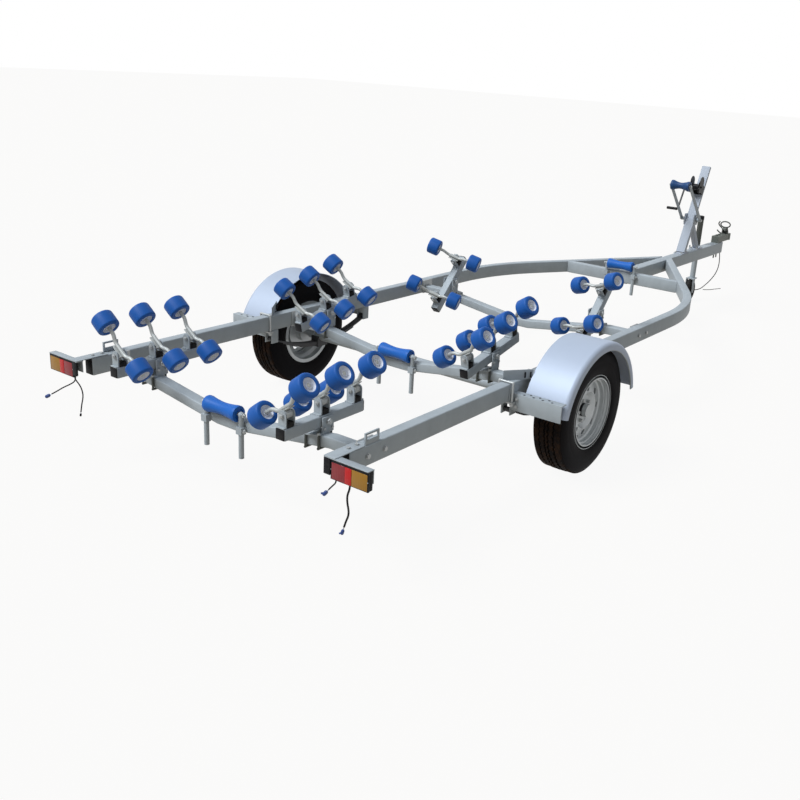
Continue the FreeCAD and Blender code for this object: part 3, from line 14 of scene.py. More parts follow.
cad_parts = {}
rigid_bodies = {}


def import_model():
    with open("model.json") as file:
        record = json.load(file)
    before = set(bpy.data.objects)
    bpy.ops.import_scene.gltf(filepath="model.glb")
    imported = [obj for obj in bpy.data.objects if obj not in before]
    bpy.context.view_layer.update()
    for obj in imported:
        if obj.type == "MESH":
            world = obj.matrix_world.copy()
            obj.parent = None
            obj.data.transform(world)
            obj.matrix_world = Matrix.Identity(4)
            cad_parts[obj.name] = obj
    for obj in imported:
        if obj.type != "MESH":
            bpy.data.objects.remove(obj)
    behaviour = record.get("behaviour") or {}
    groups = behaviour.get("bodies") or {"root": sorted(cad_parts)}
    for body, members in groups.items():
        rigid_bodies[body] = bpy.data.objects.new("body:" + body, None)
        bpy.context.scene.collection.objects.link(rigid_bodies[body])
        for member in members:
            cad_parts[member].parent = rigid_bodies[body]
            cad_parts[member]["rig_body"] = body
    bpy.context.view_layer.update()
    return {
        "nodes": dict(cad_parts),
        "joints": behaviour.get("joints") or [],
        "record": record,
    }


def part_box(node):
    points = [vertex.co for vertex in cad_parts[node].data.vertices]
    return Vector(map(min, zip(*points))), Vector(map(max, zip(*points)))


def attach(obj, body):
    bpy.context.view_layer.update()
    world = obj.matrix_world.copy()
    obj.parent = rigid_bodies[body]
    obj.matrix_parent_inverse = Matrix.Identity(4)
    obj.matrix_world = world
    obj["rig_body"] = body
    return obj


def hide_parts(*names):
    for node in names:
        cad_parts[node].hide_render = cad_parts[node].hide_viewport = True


bl_info = {
    "name": "Roller Trailer Finish",
    "version": (1, 0, 0),
    "blender": (4, 5, 0),
    "location": "View3D > Sidebar > Trailer",
    "description": "Dresses the fixed frame of a roller trailer with its finished pieces",
    "category": "Add Mesh",
}

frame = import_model()
NODES = frame["nodes"]
JOINTS = {joint["name"]: joint for joint in frame["joints"]}
SETS = ("rear", "middle", "forward")
SIDES = {"right": 1, "left": -1}
X_AXIS, Y_AXIS, Z_AXIS = Vector((1, 0, 0)), Vector((0, 1, 0)), Vector((0, 0, 1))
MM = 0.001
MERGE = 0.01 * MM
SHARP_EDGE = math.radians(50)
SMOOTH_ANGLE = math.radians(32)
FLAT_ANGLE = math.radians(0.5)


def metres(name, description, default):
    """A length that a user may change."""
    return bpy.props.FloatProperty(name=name, description=description, default=default, unit="LENGTH")


def tint(name, description, default):
    """A colour that a user may change."""
    return bpy.props.FloatVectorProperty(
        name=name, description=description, default=default, subtype="COLOR", size=3)


class TrailerSizes(bpy.types.PropertyGroup):
    """Sizes of the finish that a user may change."""
    tread_depth: metres("Tread depth", "Depth of the tyre's grooves", 0.009)
    tread_steps: bpy.props.IntProperty(
        name="Tread steps", description="Zigzags round the tread", default=64, min=16)
    tread_swing: metres("Tread swing", "Sideways swing of the zigzag grooves", 0.0032)
    tube_round: metres("Tube corner", "Corner radius of the steel tubes", 0.006)
    plate_round: metres("Plate edge", "Edge radius of the steel plates", 0.0012)
    bead_radius: metres("Mudguard bead", "Radius of the mudguard's rolled edge", 0.004)


class TrailerColours(bpy.types.PropertyGroup):
    """Colours of the finish that a user may change."""
    zinc: tint("Zinc", "Galvanised steel", (0.365, 0.395, 0.42))
    guard: tint("Mudguard", "Mudguard sheet", (0.41, 0.46, 0.56))
    roller: tint("Roller", "Wobble rollers", (0.007, 0.085, 0.34))
    keel: tint("Keel roller", "Keel rollers", (0.010, 0.115, 0.45))
    bow: tint("Bow roller", "Bow roller", (0.008, 0.042, 0.14))
    red: tint("Red lens", "Tail lamp lens", (0.24, 0.018, 0.024))
    bright_red: tint("Bright red lens", "Reflector lens", (0.50, 0.002, 0.004))
    amber: tint("Amber lens", "Indicator lens", (0.32, 0.15, 0.012))


class Recipe:
    """Node tree of one material or group, with short ways to add and join nodes."""

    def __init__(self, tree):
        self.tree = tree

    def add(self, kind, settings=None, **links):
        """Add a node; settings set its own fields and links set or join its inputs."""
        item = self.tree.nodes.new(kind)
        for name, value in (settings or {}).items():
            setattr(item, name, value)
        for name, value in links.items():
            key = int(name[3:]) if name.startswith("at_") else name.replace("_", " ")
            self.give(item.inputs[key], value)
        return item

    def give(self, socket, value):
        if isinstance(value, bpy.types.NodeSocket):
            self.tree.links.new(value, socket)
        elif isinstance(value, tuple) and len(value) == 3 and socket.type == "RGBA":
            socket.default_value = (*value, 1)
        else:
            socket.default_value = value

    def ramp(self, factor, stops):
        """A ramp whose stops are (place, grey)."""
        item = self.add("ShaderNodeValToRGB", Fac=factor)
        elements = item.color_ramp.elements
        while len(elements) < len(stops):
            elements.new(0.5)
        for element, (place, grey) in zip(elements, stops):
            element.position = place
            element.color = (grey, grey, grey, 1)
        return item.outputs["Color"]

    def maths(self, operation, first, second):
        item = self.add("ShaderNodeMath", {"operation": operation}, at_0=first, at_1=second)
        return item.outputs["Value"]

    def mix(self, factor, first, second, blend="MIX"):
        item = self.add("ShaderNodeMix", {"data_type": "RGBA", "blend_type": blend}, at_0=factor, at_6=first,
                        at_7=second)
        return item.outputs[2]


def new_group(name, inputs, outputs):
    """An empty node group with its sockets, and the nodes that stand for them."""
    group = bpy.data.node_groups.new(name, "ShaderNodeTree")
    for label, (kind, value) in inputs.items():
        socket = group.interface.new_socket(name=label, in_out="INPUT", socket_type=f"NodeSocket{kind}")
        socket.default_value = value
    for label, kind in outputs.items():
        group.interface.new_socket(name=label, in_out="OUTPUT", socket_type=f"NodeSocket{kind}")
    recipe = Recipe(group)
    return group, recipe, group.nodes.new("NodeGroupInput").outputs, group.nodes.new("NodeGroupOutput").inputs


def zinc_group():
    """Clouds, crystals and runs of hot-dip zinc over a base colour."""
    group, recipe, given, out = new_group(
        "Zinc finish",
        {"Base": ("Color", (0.5, 0.5, 0.5, 1)), "Cloud": ("Float", 5.0), "Crystal": ("Float", 55.0),
         "Contrast": ("Float", 0.3), "Gloss": ("Float", 0.38)},
        {"Color": "Color", "Roughness": "Float", "Height": "Float"})
    place = recipe.add("ShaderNodeTexCoord").outputs["Object"]
    cloud = recipe.add("ShaderNodeTexNoise", Vector=place, Scale=given["Cloud"], Detail=6.0, Roughness=0.6)
    crystal = recipe.add("ShaderNodeTexVoronoi", Vector=place, Scale=given["Crystal"])
    stretched = recipe.add("ShaderNodeMapping", Vector=place, Scale=(14.0, 14.0, 2.5))
    runs = recipe.add("ShaderNodeTexNoise", Vector=stretched.outputs[0], Scale=2.0, Detail=4.0)
    fine = recipe.add("ShaderNodeTexNoise", Vector=place, Scale=420.0, Detail=3.0)
    clouds = recipe.ramp(cloud.outputs["Fac"], [(0.3, 0.28), (0.5, 0.5), (0.72, 0.74)])
    cells = recipe.ramp(crystal.outputs["Color"], [(0.0, 0.42), (1.0, 0.58)])
    streaks = recipe.ramp(runs.outputs["Fac"], [(0.35, 0.4), (0.65, 0.58)])
    shade = recipe.mix(0.45, clouds, cells)
    shade = recipe.mix(0.3, shade, streaks)
    tone = recipe.mix(given["Contrast"], given["Base"], shade, "OVERLAY")
    rough = recipe.maths("MULTIPLY_ADD", shade, 0.35)
    recipe.give(rough.node.inputs[2], given["Gloss"])
    recipe.give(out["Color"], tone)
    recipe.give(out["Roughness"], rough)
    height = recipe.maths("ADD", cloud.outputs["Fac"], recipe.maths("MULTIPLY", fine.outputs["Fac"], 0.12))
    recipe.give(out["Height"], height)
    return group


def scuff_group():
    """Pale scuffs and dust that lie unevenly over a moulded or rubber surface; on the bow roller the patches
    are painted highlight.
    """
    group, recipe, given, out = new_group(
        "Scuffs and dust",
        {"Base": ("Color", (0.1, 0.1, 0.1, 1)), "Dust": ("Color", (0.4, 0.36, 0.3, 1)),
         "Amount": ("Float", 0.2), "Scale": ("Float", 12.0), "Gloss": ("Float", 0.45)},
        {"Color": "Color", "Roughness": "Float", "Height": "Float"})
    place = recipe.add("ShaderNodeTexCoord").outputs["Object"]
    broad = recipe.add("ShaderNodeTexNoise", Vector=place, Scale=given["Scale"], Detail=8.0, Roughness=0.7)
    grain = recipe.add("ShaderNodeTexNoise", Vector=place, Scale=260.0, Detail=4.0)
    mask = recipe.ramp(broad.outputs["Fac"], [(0.42, 0.0), (0.75, 1.0)])
    amount = recipe.maths("MULTIPLY", mask, given["Amount"])
    recipe.give(out["Color"], recipe.mix(amount, given["Base"], given["Dust"]))
    rough = recipe.maths("ADD", given["Gloss"], recipe.maths("MULTIPLY", broad.outputs["Fac"], 0.2))
    recipe.give(out["Roughness"], rough)
    recipe.give(out["Height"], grain.outputs["Fac"])
    return group


def surface(name, group, values, metallic=0.0, bump=0.1, reach=0.0004, **fixed):
    """A material: one group drives the colour, roughness and bump of a Principled shader."""
    material = bpy.data.materials.new(name)
    material.use_nodes = True
    recipe = Recipe(material.node_tree)
    shader = material.node_tree.nodes["Principled BSDF"]
    finish = recipe.add("ShaderNodeGroup", {"node_tree": group})
    for label, value in values.items():
        recipe.give(finish.inputs[label], value)
    recipe.give(shader.inputs["Base Color"], finish.outputs["Color"])
    recipe.give(shader.inputs["Roughness"], finish.outputs["Roughness"])
    dent = recipe.add("ShaderNodeBump", Strength=bump, Distance=reach, Height=finish.outputs["Height"])
    recipe.give(shader.inputs["Normal"], dent.outputs["Normal"])
    shader.inputs["Metallic"].default_value = metallic
    for label, value in fixed.items():
        shader.inputs[label.replace("_", " ")].default_value = value
    return material


def lens_surface(name, colour, scuffs):
    """Coloured lamp lens with fine moulded ribs."""
    material = surface(name, scuffs, {"Base": colour, "Dust": (0.5, 0.45, 0.4), "Amount": 0.05, "Gloss": 0.2},
                       Coat_Weight=0.12, Coat_Roughness=0.1, Specular_IOR_Level=0.25)
    recipe = Recipe(material.node_tree)
    place = recipe.add("ShaderNodeTexCoord").outputs["Object"]
    ribs = recipe.add("ShaderNodeTexWave", {"bands_direction": "X"}, Vector=place, Scale=38.0)
    dent = recipe.add("ShaderNodeBump", Strength=0.35, Distance=0.0008, Height=ribs.outputs["Fac"])
    recipe.give(material.node_tree.nodes["Principled BSDF"].inputs["Normal"], dent.outputs["Normal"])
    return material


GREY_DUST = (0.42, 0.38, 0.32)
BLUE_DUST = (0.025, 0.11, 0.40)
MATERIALS = {}

# Each row: key, name, base colour or the name of the user's colour, size of the clouds and the crystals,
# contrast, gloss, metallic, bump, specular level, and reach of the bump.
STEELS = (
    ("zinc", "Galvanised steel", "zinc", 5.0, 55.0, 0.42, 0.38, 0.08, 0.2, 0.2, 0.6 * MM),
    ("bright", "Bright zinc fastener", (0.42, 0.43, 0.43), 40.0, 300.0, 0.3, 0.25, 0.4, 0.1, 0.5, 0.4 * MM),
    ("post", "Post zinc", (0.44, 0.47, 0.53), 2.0, 12.0, 0.1, 0.6, 0.05, 0.02, 0.2, 0.4 * MM),
    ("guard", "Mudguard zinc", "guard", 3.0, 34.0, 0.12, 0.34, 0.15, 0.05, 0.35, 0.4 * MM),
    ("coupling", "Coupling zinc", (0.13, 0.14, 0.125), 22.0, 140.0, 0.5, 0.35, 0.3, 0.3, 0.3, 0.4 * MM),
    ("rim", "Wheel silver", (0.45, 0.47, 0.48), 9.0, 90.0, 0.3, 0.28, 0.5, 0.08, 0.5, 0.4 * MM),
    ("spring", "Spring steel", (0.045, 0.045, 0.047), 15.0, 120.0, 0.4, 0.4, 0.5, 0.3, 0.5, 0.4 * MM),
    ("rod", "Rocker rod", (0.44, 0.45, 0.44), 24.0, 200.0, 0.35, 0.3, 0.25, 0.12, 0.4, 0.4 * MM),
    # The dark plated steel is also painted shade on the pedestals' U-bolts.
    ("dark", "Dark plated steel", (0.070, 0.074, 0.066), 30.0, 220.0, 0.4, 0.35, 0.3, 0.2, 0.3, 0.4 * MM),
)

# Each row: key, name, base colour or the name of the user's colour, dust colour, amount and scale of the
# dust, gloss, bump, and specular level.
MOULDED = (
    ("tyre", "Tyre rubber", (0.0042, 0.0040, 0.0048), (0.05, 0.032, 0.024), 0.08, 9.0, 0.55, 0.3, 0.05),
    ("tread", "Tyre tread", (0.0055, 0.0045, 0.0045), (0.085, 0.042, 0.022), 0.5, 26.0, 0.65, 0.5, 0.05),
    ("roller", "Roller blue", "roller", BLUE_DUST, 0.35, 20.0, 0.42, 0.15, 0.25),
    ("keel", "Keel roller blue", "keel", BLUE_DUST, 0.35, 18.0, 0.4, 0.15, 0.25),
    # The bow roller's dust colour is the pale teal of its highlights: painted highlight, laid in the noise's
    # patches.
    ("bow", "Bow roller blue", "bow", (0.015, 0.10, 0.25), 0.5, 22.0, 0.35, 0.15, 0.3),
    ("hub", "Roller hub", (0.66, 0.68, 0.77), (0.34, 0.36, 0.42), 0.3, 60.0, 0.4, 0.2, 0.5),
    ("black", "Black moulding", (0.006, 0.006, 0.008), GREY_DUST, 0.05, 30.0, 0.35, 0.2, 0.12),
    ("winch", "Winch black", (0.008, 0.008, 0.009), GREY_DUST, 0.06, 40.0, 0.3, 0.1, 0.2),
    ("rubber", "Dark rubber", (0.009, 0.009, 0.010), GREY_DUST, 0.08, 40.0, 0.6, 0.3, 0.12),
    ("lead", "Lead sheath", (0.006, 0.006, 0.007), GREY_DUST, 0.05, 50.0, 0.4, 0.1, 0.15),
    ("plug", "Plug blue", (0.014, 0.045, 0.19), GREY_DUST, 0.05, 50.0, 0.4, 0.1, 0.5),
)
LENSES = {"red": "Red lens", "bright_red": "Bright red lens", "amber": "Amber lens"}


def make_materials(colours):
    """Fill MATERIALS from the tables and the user's colours."""
    zinc, scuffs = zinc_group(), scuff_group()

    def chosen(base):
        return tuple(getattr(colours, base)) if isinstance(base, str) else base

    for key, name, base, cloud, crystal, contrast, gloss, metallic, bump, specular, reach in STEELS:
        values = {"Base": chosen(base), "Cloud": cloud, "Crystal": crystal, "Contrast": contrast,
                  "Gloss": gloss}
        MATERIALS[key] = surface(name, zinc, values, metallic, bump, reach, Specular_IOR_Level=specular)
    for key, name, base, dust, amount, scale, gloss, bump, specular in MOULDED:
        values = {"Base": chosen(base), "Dust": dust, "Amount": amount, "Scale": scale, "Gloss": gloss}
        MATERIALS[key] = surface(name, scuffs, values, bump=bump, Specular_IOR_Level=specular)
    for key, name in LENSES.items():
        MATERIALS[key] = lens_surface(name, chosen(key), scuffs)


def turn_to(axis):
    """Matrix that turns Z onto an axis."""
    return Vector(axis).to_track_quat("Z", "Y").to_matrix().to_4x4()


def frame_at(place, across, along, up):
    """Matrix that lays local X, Y and Z onto three axes at a place."""
    return Matrix.Translation(place) @ Matrix((across, along, up)).transposed().to_4x4()


def ray_of(index, count):
    """One of a number of equal directions round the X axis."""
    angle = math.tau * index / count
    return Vector((0, math.cos(angle), math.sin(angle)))


def in_metres(points, reach=0.0, radius=0.0):
    """A profile in millimetres, measured from a reach and a radius."""
    return [(reach + x * MM, radius + r * MM) for x, r in points]


def mirrored(profile):
    """The other half of a profile that is symmetric along its axis."""
    return [(-x, r) for x, r in reversed(profile)]


def turned_shape(profile, centre, axis, steps, closed=False):
    """Spin a profile of (along the axis, radius) round an axis through a centre."""
    shape = bmesh.new()
    turn = turn_to(axis)
    verts = [shape.verts.new(turn @ Vector((radius, 0, reach)) + Vector(centre)) for reach, radius in profile]
    pairs = list(zip(verts, verts[1:])) + ([(verts[-1], verts[0])] if closed else [])
    edges = [shape.edges.new(pair) for pair in pairs]
    bmesh.ops.spin(shape, geom=verts + edges, cent=centre, axis=axis, angle=math.tau, steps=steps,
                   use_merge=True, use_duplicate=False)
    return shape


def eased(shape, edges, offset, segments=2):
    """Round some edges of a shape in place."""
    bmesh.ops.bevel(shape, geom=edges, offset=offset, offset_type="OFFSET", affect="EDGES",
                    segments=segments, profile=0.5, material=-1, clamp_overlap=True)


class Piece:
    """A piece whose shapes are each finished by themselves before they are joined."""

    def __init__(self):
        self.whole = bmesh.new()

    def join(self, shape, material=0, matrix=None):
        """Add a shape with its faces outwards and its material's place in the list."""
        bmesh.ops.remove_doubles(shape, verts=shape.verts, dist=MERGE)
        if matrix is not None:
            bmesh.ops.transform(shape, matrix=matrix, verts=shape.verts)
        bmesh.ops.recalc_face_normals(shape, faces=shape.faces)
        for face in shape.faces:
            face.material_index = material
        part = bpy.data.meshes.new("part")
        shape.to_mesh(part)
        shape.free()
        self.whole.from_mesh(part)
        bpy.data.meshes.remove(part)

    def rod(self, start, end, radius, sides, end_radius=None, material=0, soft=0.0):
        """A closed round bar or cone between two points, with its end edges eased."""
        start, end = Vector(start), Vector(end)
        shape = bmesh.new()
        far_radius = radius if end_radius is None else end_radius
        bmesh.ops.create_cone(shape, cap_ends=True, segments=sides, radius1=radius, radius2=far_radius,
                              depth=(end - start).length)
        if soft:
            eased(shape, [edge for edge in shape.edges
                          if any(len(face.verts) == sides for face in edge.link_faces)], soft)
        self.join(shape, material, Matrix.Translation((start + end) / 2) @ turn_to(end - start))

    def block(self, low, high, soft, matrix=None, material=0, segments=2):
        """A box between two corners with rounded edges."""
        low, high = Vector(low), Vector(high)
        shape = bmesh.new()
        bmesh.ops.create_cube(shape, size=1)
        bmesh.ops.scale(shape, vec=high - low, verts=shape.verts)
        bmesh.ops.translate(shape, vec=(low + high) / 2, verts=shape.verts)
        if soft:
            eased(shape, list(shape.edges), soft, segments)
        self.join(shape, material, matrix)

    def side_block(self, sign, low, high, **options):
        """A block on one side of the trailer, with X measured outwards from the middle."""
        near, far = sorted((sign * low[0], sign * high[0]))
        self.block((near, low[1], low[2]), (far, high[1], high[2]), **options)

    def turned(self, profile, centre, axis, steps=48, material=0, closed=False):
        self.join(turned_shape(profile, centre, axis, steps, closed), material)

    def bolt(self, place, axis, size, stem=0.0, material=0):
        """Hexagon head on a washer, with the shank's end beyond it."""
        place, axis = Vector(place), Vector(axis).normalized()
        seat, head = place + axis * size * 0.18, place + axis * size * 0.85
        self.rod(place, seat, size * 1.05, 24, material=material)
        self.rod(seat, head, size * 0.95, 6, material=material, soft=size * 0.08)
        if stem:
            self.rod(place, head + axis * stem, size * 0.45, 14, material=material, soft=size * 0.06)

    def ear(self, radius, drop, thick, matrix):
        """A plate along local Z, round above the origin and straight down to its foot."""
        shape = bmesh.new()
        bmesh.ops.create_circle(shape, cap_ends=True, segments=32, radius=radius)
        for vert in shape.verts:
            if vert.co.y < -MERGE:
                vert.co.y = -drop
        grown = bmesh.ops.extrude_face_region(shape, geom=list(shape.faces))["geom"]
        bmesh.ops.translate(shape, vec=(0, 0, thick),
                            verts=[item for item in grown if isinstance(item, bmesh.types.BMVert)])
        self.join(shape, 0, matrix)

    def bent_rod(self, points, radius, sides=12, material=0, matrix=None, closed=False):
        """A round rod along a smooth curve through the given control points."""
        curve = bpy.data.curves.new("bent_rod", "CURVE")
        lay_route(curve, points, closed)
        curve.splines[0].resolution_u = 6
        curve.bevel_depth = radius
        curve.bevel_resolution = max(1, sides // 4 - 1)
        curve.use_fill_caps = True
        holder = bpy.data.objects.new("bent_rod", curve)
        mesh = bpy.data.meshes.new_from_object(holder)
        shape = bmesh.new()
        shape.from_mesh(mesh)
        self.join(shape, material, matrix)
        bpy.data.objects.remove(holder)
        bpy.data.curves.remove(curve)
        bpy.data.meshes.remove(mesh)

    def finish(self, name, body, slot, materials, replaced=()):
        """Make one piece of the joined shapes and let it ride on its body."""
        mesh = bpy.data.meshes.new(name)
        self.whole.to_mesh(mesh)
        self.whole.free()
        mesh.polygons.foreach_set("use_smooth", [True] * len(mesh.polygons))
        mesh.set_sharp_from_angle(angle=SMOOTH_ANGLE)
        piece = bpy.data.objects.new(name, mesh)
        bpy.context.scene.collection.objects.link(piece)
        for key in materials:
            mesh.materials.append(MATERIALS[key])
        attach(piece, body)
        if replaced:
            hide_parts(*replaced)
        return piece


def lay_route(curve, points, closed=False):
    """Give a curve one smooth spline with the points as its control points."""
    curve.dimensions = "3D"
    spline = curve.splines.new("NURBS")
    spline.points.add(len(points) - 1)
    for point, place in zip(spline.points, points):
        point.co = (*place, 1)
    spline.order_u = 3
    if closed:
        spline.use_cyclic_u = True
    else:
        spline.use_endpoint_u = True


def merged_copy(node):
    """A bmesh copy of a fixed node with its loose triangles joined into flat faces."""
    shape = bmesh.new()
    shape.from_mesh(NODES[node].data)
    bmesh.ops.remove_doubles(shape, verts=shape.verts, dist=MERGE)
    bmesh.ops.dissolve_limit(shape, angle_limit=FLAT_ANGLE, verts=shape.verts, edges=shape.edges)
    return shape


def softened(node, radius, material, segments=3):
    """A copy of a fixed steel node with its sharp edges rounded, which stands for it."""
    shape = merged_copy(node)
    sharp = [edge for edge in shape.edges
             if len(edge.link_faces) == 2 and edge.calc_face_angle(0) > SHARP_EDGE]
    eased(shape, sharp, radius, segments)
    bmesh.ops.triangulate(shape, faces=[face for face in shape.faces if len(face.verts) > 4])
    piece = Piece()
    piece.join(shape)
    piece.finish(f"{node}_finished", NODES[node]["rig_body"], "galvanised_steel", [material], [node])


def points_of(node, sign):
    """Vertices of a fixed node on one side, with X measured outwards from the middle."""
    return [Vector((abs(vert.co.x), vert.co.y, vert.co.z)) for vert in NODES[node].data.vertices
            if vert.co.x * sign >= 0]


def box_of(points):
    """Lowest and highest corner of some points."""
    return (Vector([min(point[i] for point in points) for i in range(3)]),
            Vector([max(point[i] for point in points) for i in range(3)]))


def middle_of(points):
    low, high = box_of(points)
    return (low + high) / 2


def box_and_middle(node):
    """Lowest corner, highest corner and middle of a fixed node."""
    low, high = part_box(node)
    return low, high, (low + high) / 2


TREES = {}


def hit(node, start, heading):
    """The point where a straight line first meets a fixed node."""
    if node not in TREES:
        mesh = NODES[node].data
        TREES[node] = BVHTree.FromPolygons([vert.co for vert in mesh.vertices],
                                           [face.vertices for face in mesh.polygons])
    place = TREES[node].ray_cast(Vector(start), Vector(heading))[0]
    if place is None:
        raise ValueError(f"nothing of {node} lies ahead of {tuple(start)}")
    return place


def separate_solids(node):
    """The vertices and faces of each separate solid of a fixed node."""
    shape = bmesh.new()
    shape.from_mesh(NODES[node].data)
    bmesh.ops.remove_doubles(shape, verts=shape.verts, dist=MERGE)
    left = set(shape.verts)
    solids = []
    while left:
        queue = [left.pop()]
        found = set(queue)
        while queue:
            here = queue.pop()
            for edge in here.link_edges:
                other = edge.other_vert(here)
                if other in left:
                    left.discard(other)
                    found.add(other)
                    queue.append(other)
        faces = {face for vert in found for face in vert.link_faces}
        solids.append(([vert.co.copy() for vert in found],
                       [(face.normal.copy(), face.calc_area()) for face in faces]))
    shape.free()
    return sorted(solids, key=lambda solid: [round(sum(p[i] for p in solid[0]) / len(solid[0]), 4)
                                             for i in (1, 0)])


def flat_axis(faces):
    """The direction of the largest flat face."""
    areas = {}
    for normal, area in faces:
        key = tuple(round(value, 3) for value in normal)
        areas[key] = areas.get(key, 0) + area
    return Vector(max(areas, key=areas.get)).normalized()


class RollerSet:
    """Where the tubes, rockers and rollers of one beam lie, read from its solids."""

    def __init__(self, name, side):
        self.name, self.side = name, side
        self.body = f"set_{name}_{side}"
        self.pin = Vector(JOINTS[f"set_{name}_{side}_tilt"]["pos_m"])
        solids = separate_solids(f"rollers_{name}_{side}")
        axis = flat_axis(solids[0][1])
        self.lean_axis = axis if axis.z > 0 else -axis
        pitch = math.atan2(-self.lean_axis.y, self.lean_axis.z)
        self.beam_axis = Vector((0, math.cos(pitch), math.sin(pitch)))
        self.normal = Vector((0, -math.sin(pitch), math.cos(pitch)))
        rise = self.lean_axis.cross(self.beam_axis)
        self.rise = rise if rise.z > 0 else -rise
        self.rollers = [middle_of(points) for points, faces in solids]
        self.rows = rows = {}
        for centre in self.rollers:
            rows.setdefault(round((centre - self.pin).dot(self.beam_axis), 3), []).append(centre)
        first, second = rows[min(rows)]
        middle = (first + second) / 2 - self.pin
        self.height = middle.dot(self.lean_axis) / self.normal.dot(self.lean_axis)
        self.bow = middle.dot(self.rise) - self.height * self.normal.dot(self.rise)
        self.spread = (first - second).length / 2
        points = [vert.co - self.pin for vert in NODES[f"roller_beam_{name}_{side}"].data.vertices]
        within = BEAM_HALF + 0.1 * MM
        runs = [point.dot(self.beam_axis) for point in points if abs(point.dot(self.normal)) < within]
        self.low, self.high = min(runs), max(runs)

    def beam_frame(self, along=0.0):
        """Matrix with X across, Y along the beam and Z off its top."""
        return frame_at(self.pin + self.beam_axis * along, X_AXIS, self.beam_axis, self.normal)

    def rocker_frame(self, along):
        """Matrix with X along the rocker's lean, at its sleeve."""
        place = self.pin + self.beam_axis * along + self.normal * self.height
        return frame_at(place, self.lean_axis, self.beam_axis, self.rise)


ROLLER_SETS = []
TUBE_NODES = ("side_rail_right", "side_rail_left", "crossmember_rear", "crossmember_middle",
              "crossmember_forward", "crossmember_nose", "drawbar")
POST_NODES = ("bow_stop", "winch_post")
PLATE_NODES = ("mudguard_brackets", "lamp_brackets", "tie_down_loops", "spring_hangers")
SLOT_LOOKS = {
    "galvanised_steel": "zinc", "bright_zinc": "bright", "coupling_steel": "coupling",
    "spring_steel": "spring", "mudguard_sheet": "guard", "tyre_rubber": "tyre", "rim_steel": "rim",
    "roller_blue": "roller", "keel_blue": "keel", "bow_roller_blue": "bow", "lamp_black": "black",
    "lens_red": "red", "lens_amber": "amber", "winch_black": "winch", "grip_black": "black",
    "jockey_rubber": "rubber", "lead_black": "lead", "plug_black": "plug"}


class TRAILER_OT_materials(bpy.types.Operator):
    """Make the materials of the trailer"""
    bl_idname = "trailer.materials"
    bl_label = "Materials"

    def execute(self, context):
        make_materials(context.scene.trailer_colours)
        for entry in frame["record"]["subparts"]:
            data = NODES[entry["node"]].data
            data.materials.clear()
            data.materials.append(MATERIALS[SLOT_LOOKS[entry["material_slot"]]])
        NODES["coupling_handle"].data.materials[0] = MATERIALS["dark"]
        ROLLER_SETS.extend(RollerSet(name, side) for name in SETS for side in SIDES)
        return {"FINISHED"}


CAP_INSET = 3 * MM


class TRAILER_OT_tubes(bpy.types.Operator):
    """Round the corners of the rails, crossmembers and drawbar, and plug the rails' rear ends"""
    bl_idname = "trailer.tubes"
    bl_label = "Frame tubes"

    def execute(self, context):
        sizes = context.scene.trailer_sizes
        for node in TUBE_NODES:
            softened(node, sizes.tube_round, "zinc")
        for node in PLATE_NODES:
            softened(node, sizes.plate_round, "zinc", segments=2)
        for node in POST_NODES:
            softened(node, sizes.tube_round / 2, "post")
        for name, sign in SIDES.items():
            points = points_of(f"side_rail_{name}", sign)
            end = min(point.y for point in points)
            low, high = box_of([point for point in points if point.y < end + MM])
            cap = Piece()
            cap.side_block(sign, (low.x + CAP_INSET, end - 4 * MM, low.z + CAP_INSET),
                           (high.x - CAP_INSET, end + 2 * MM, high.z - CAP_INSET), soft=CAP_INSET)
            cap.finish(f"rail_end_cap_{name}", "chassis", "lamp_black", ["black"])
        return {"FINISHED"}


# The side wall: shares of the tyre's half width, and heights over the bead in millimetres.
TYRE_WALL = ((0.82, 0), (0.86, 14), (0.93, 24), (0.965, 34), (0.985, 50), (1, 72), (0.995, 74), (1, 77),
             (0.985, 98), (0.95, 115), (0.90, 127))
BEAD_SHARE = 0.55
# Where each rib of the tread starts and ends, as shares of the tyre's half width.
TREAD_RIBS = ((-0.80, -0.47), (-0.39, -0.14), (-0.06, 0.06), (0.14, 0.39), (0.47, 0.80))
SHOULDER_SHARE = 0.7
CROWN_DROP = 3.5 * MM


def tread_rib(first, last, floor, crown, shoulder):
    """Profile of one rib, with a sloped outer side where it is a shoulder."""
    rib = [(first, floor - 4 * MM), (first + MM, crown - MM), (first + 2 * MM, crown),
           (last - 2 * MM, crown), (last - MM, crown - MM), (last, floor - 4 * MM)]
    slope = crown - (crown - floor) * 0.3
    if shoulder and first < 0:
        return [(first - 4 * MM, floor - 6 * MM), (first + 2 * MM, slope)] + rib[2:]
    if shoulder:
        return rib[:4] + [(last - 2 * MM, slope), (last + 4 * MM, floor - 6 * MM)]
    return rib


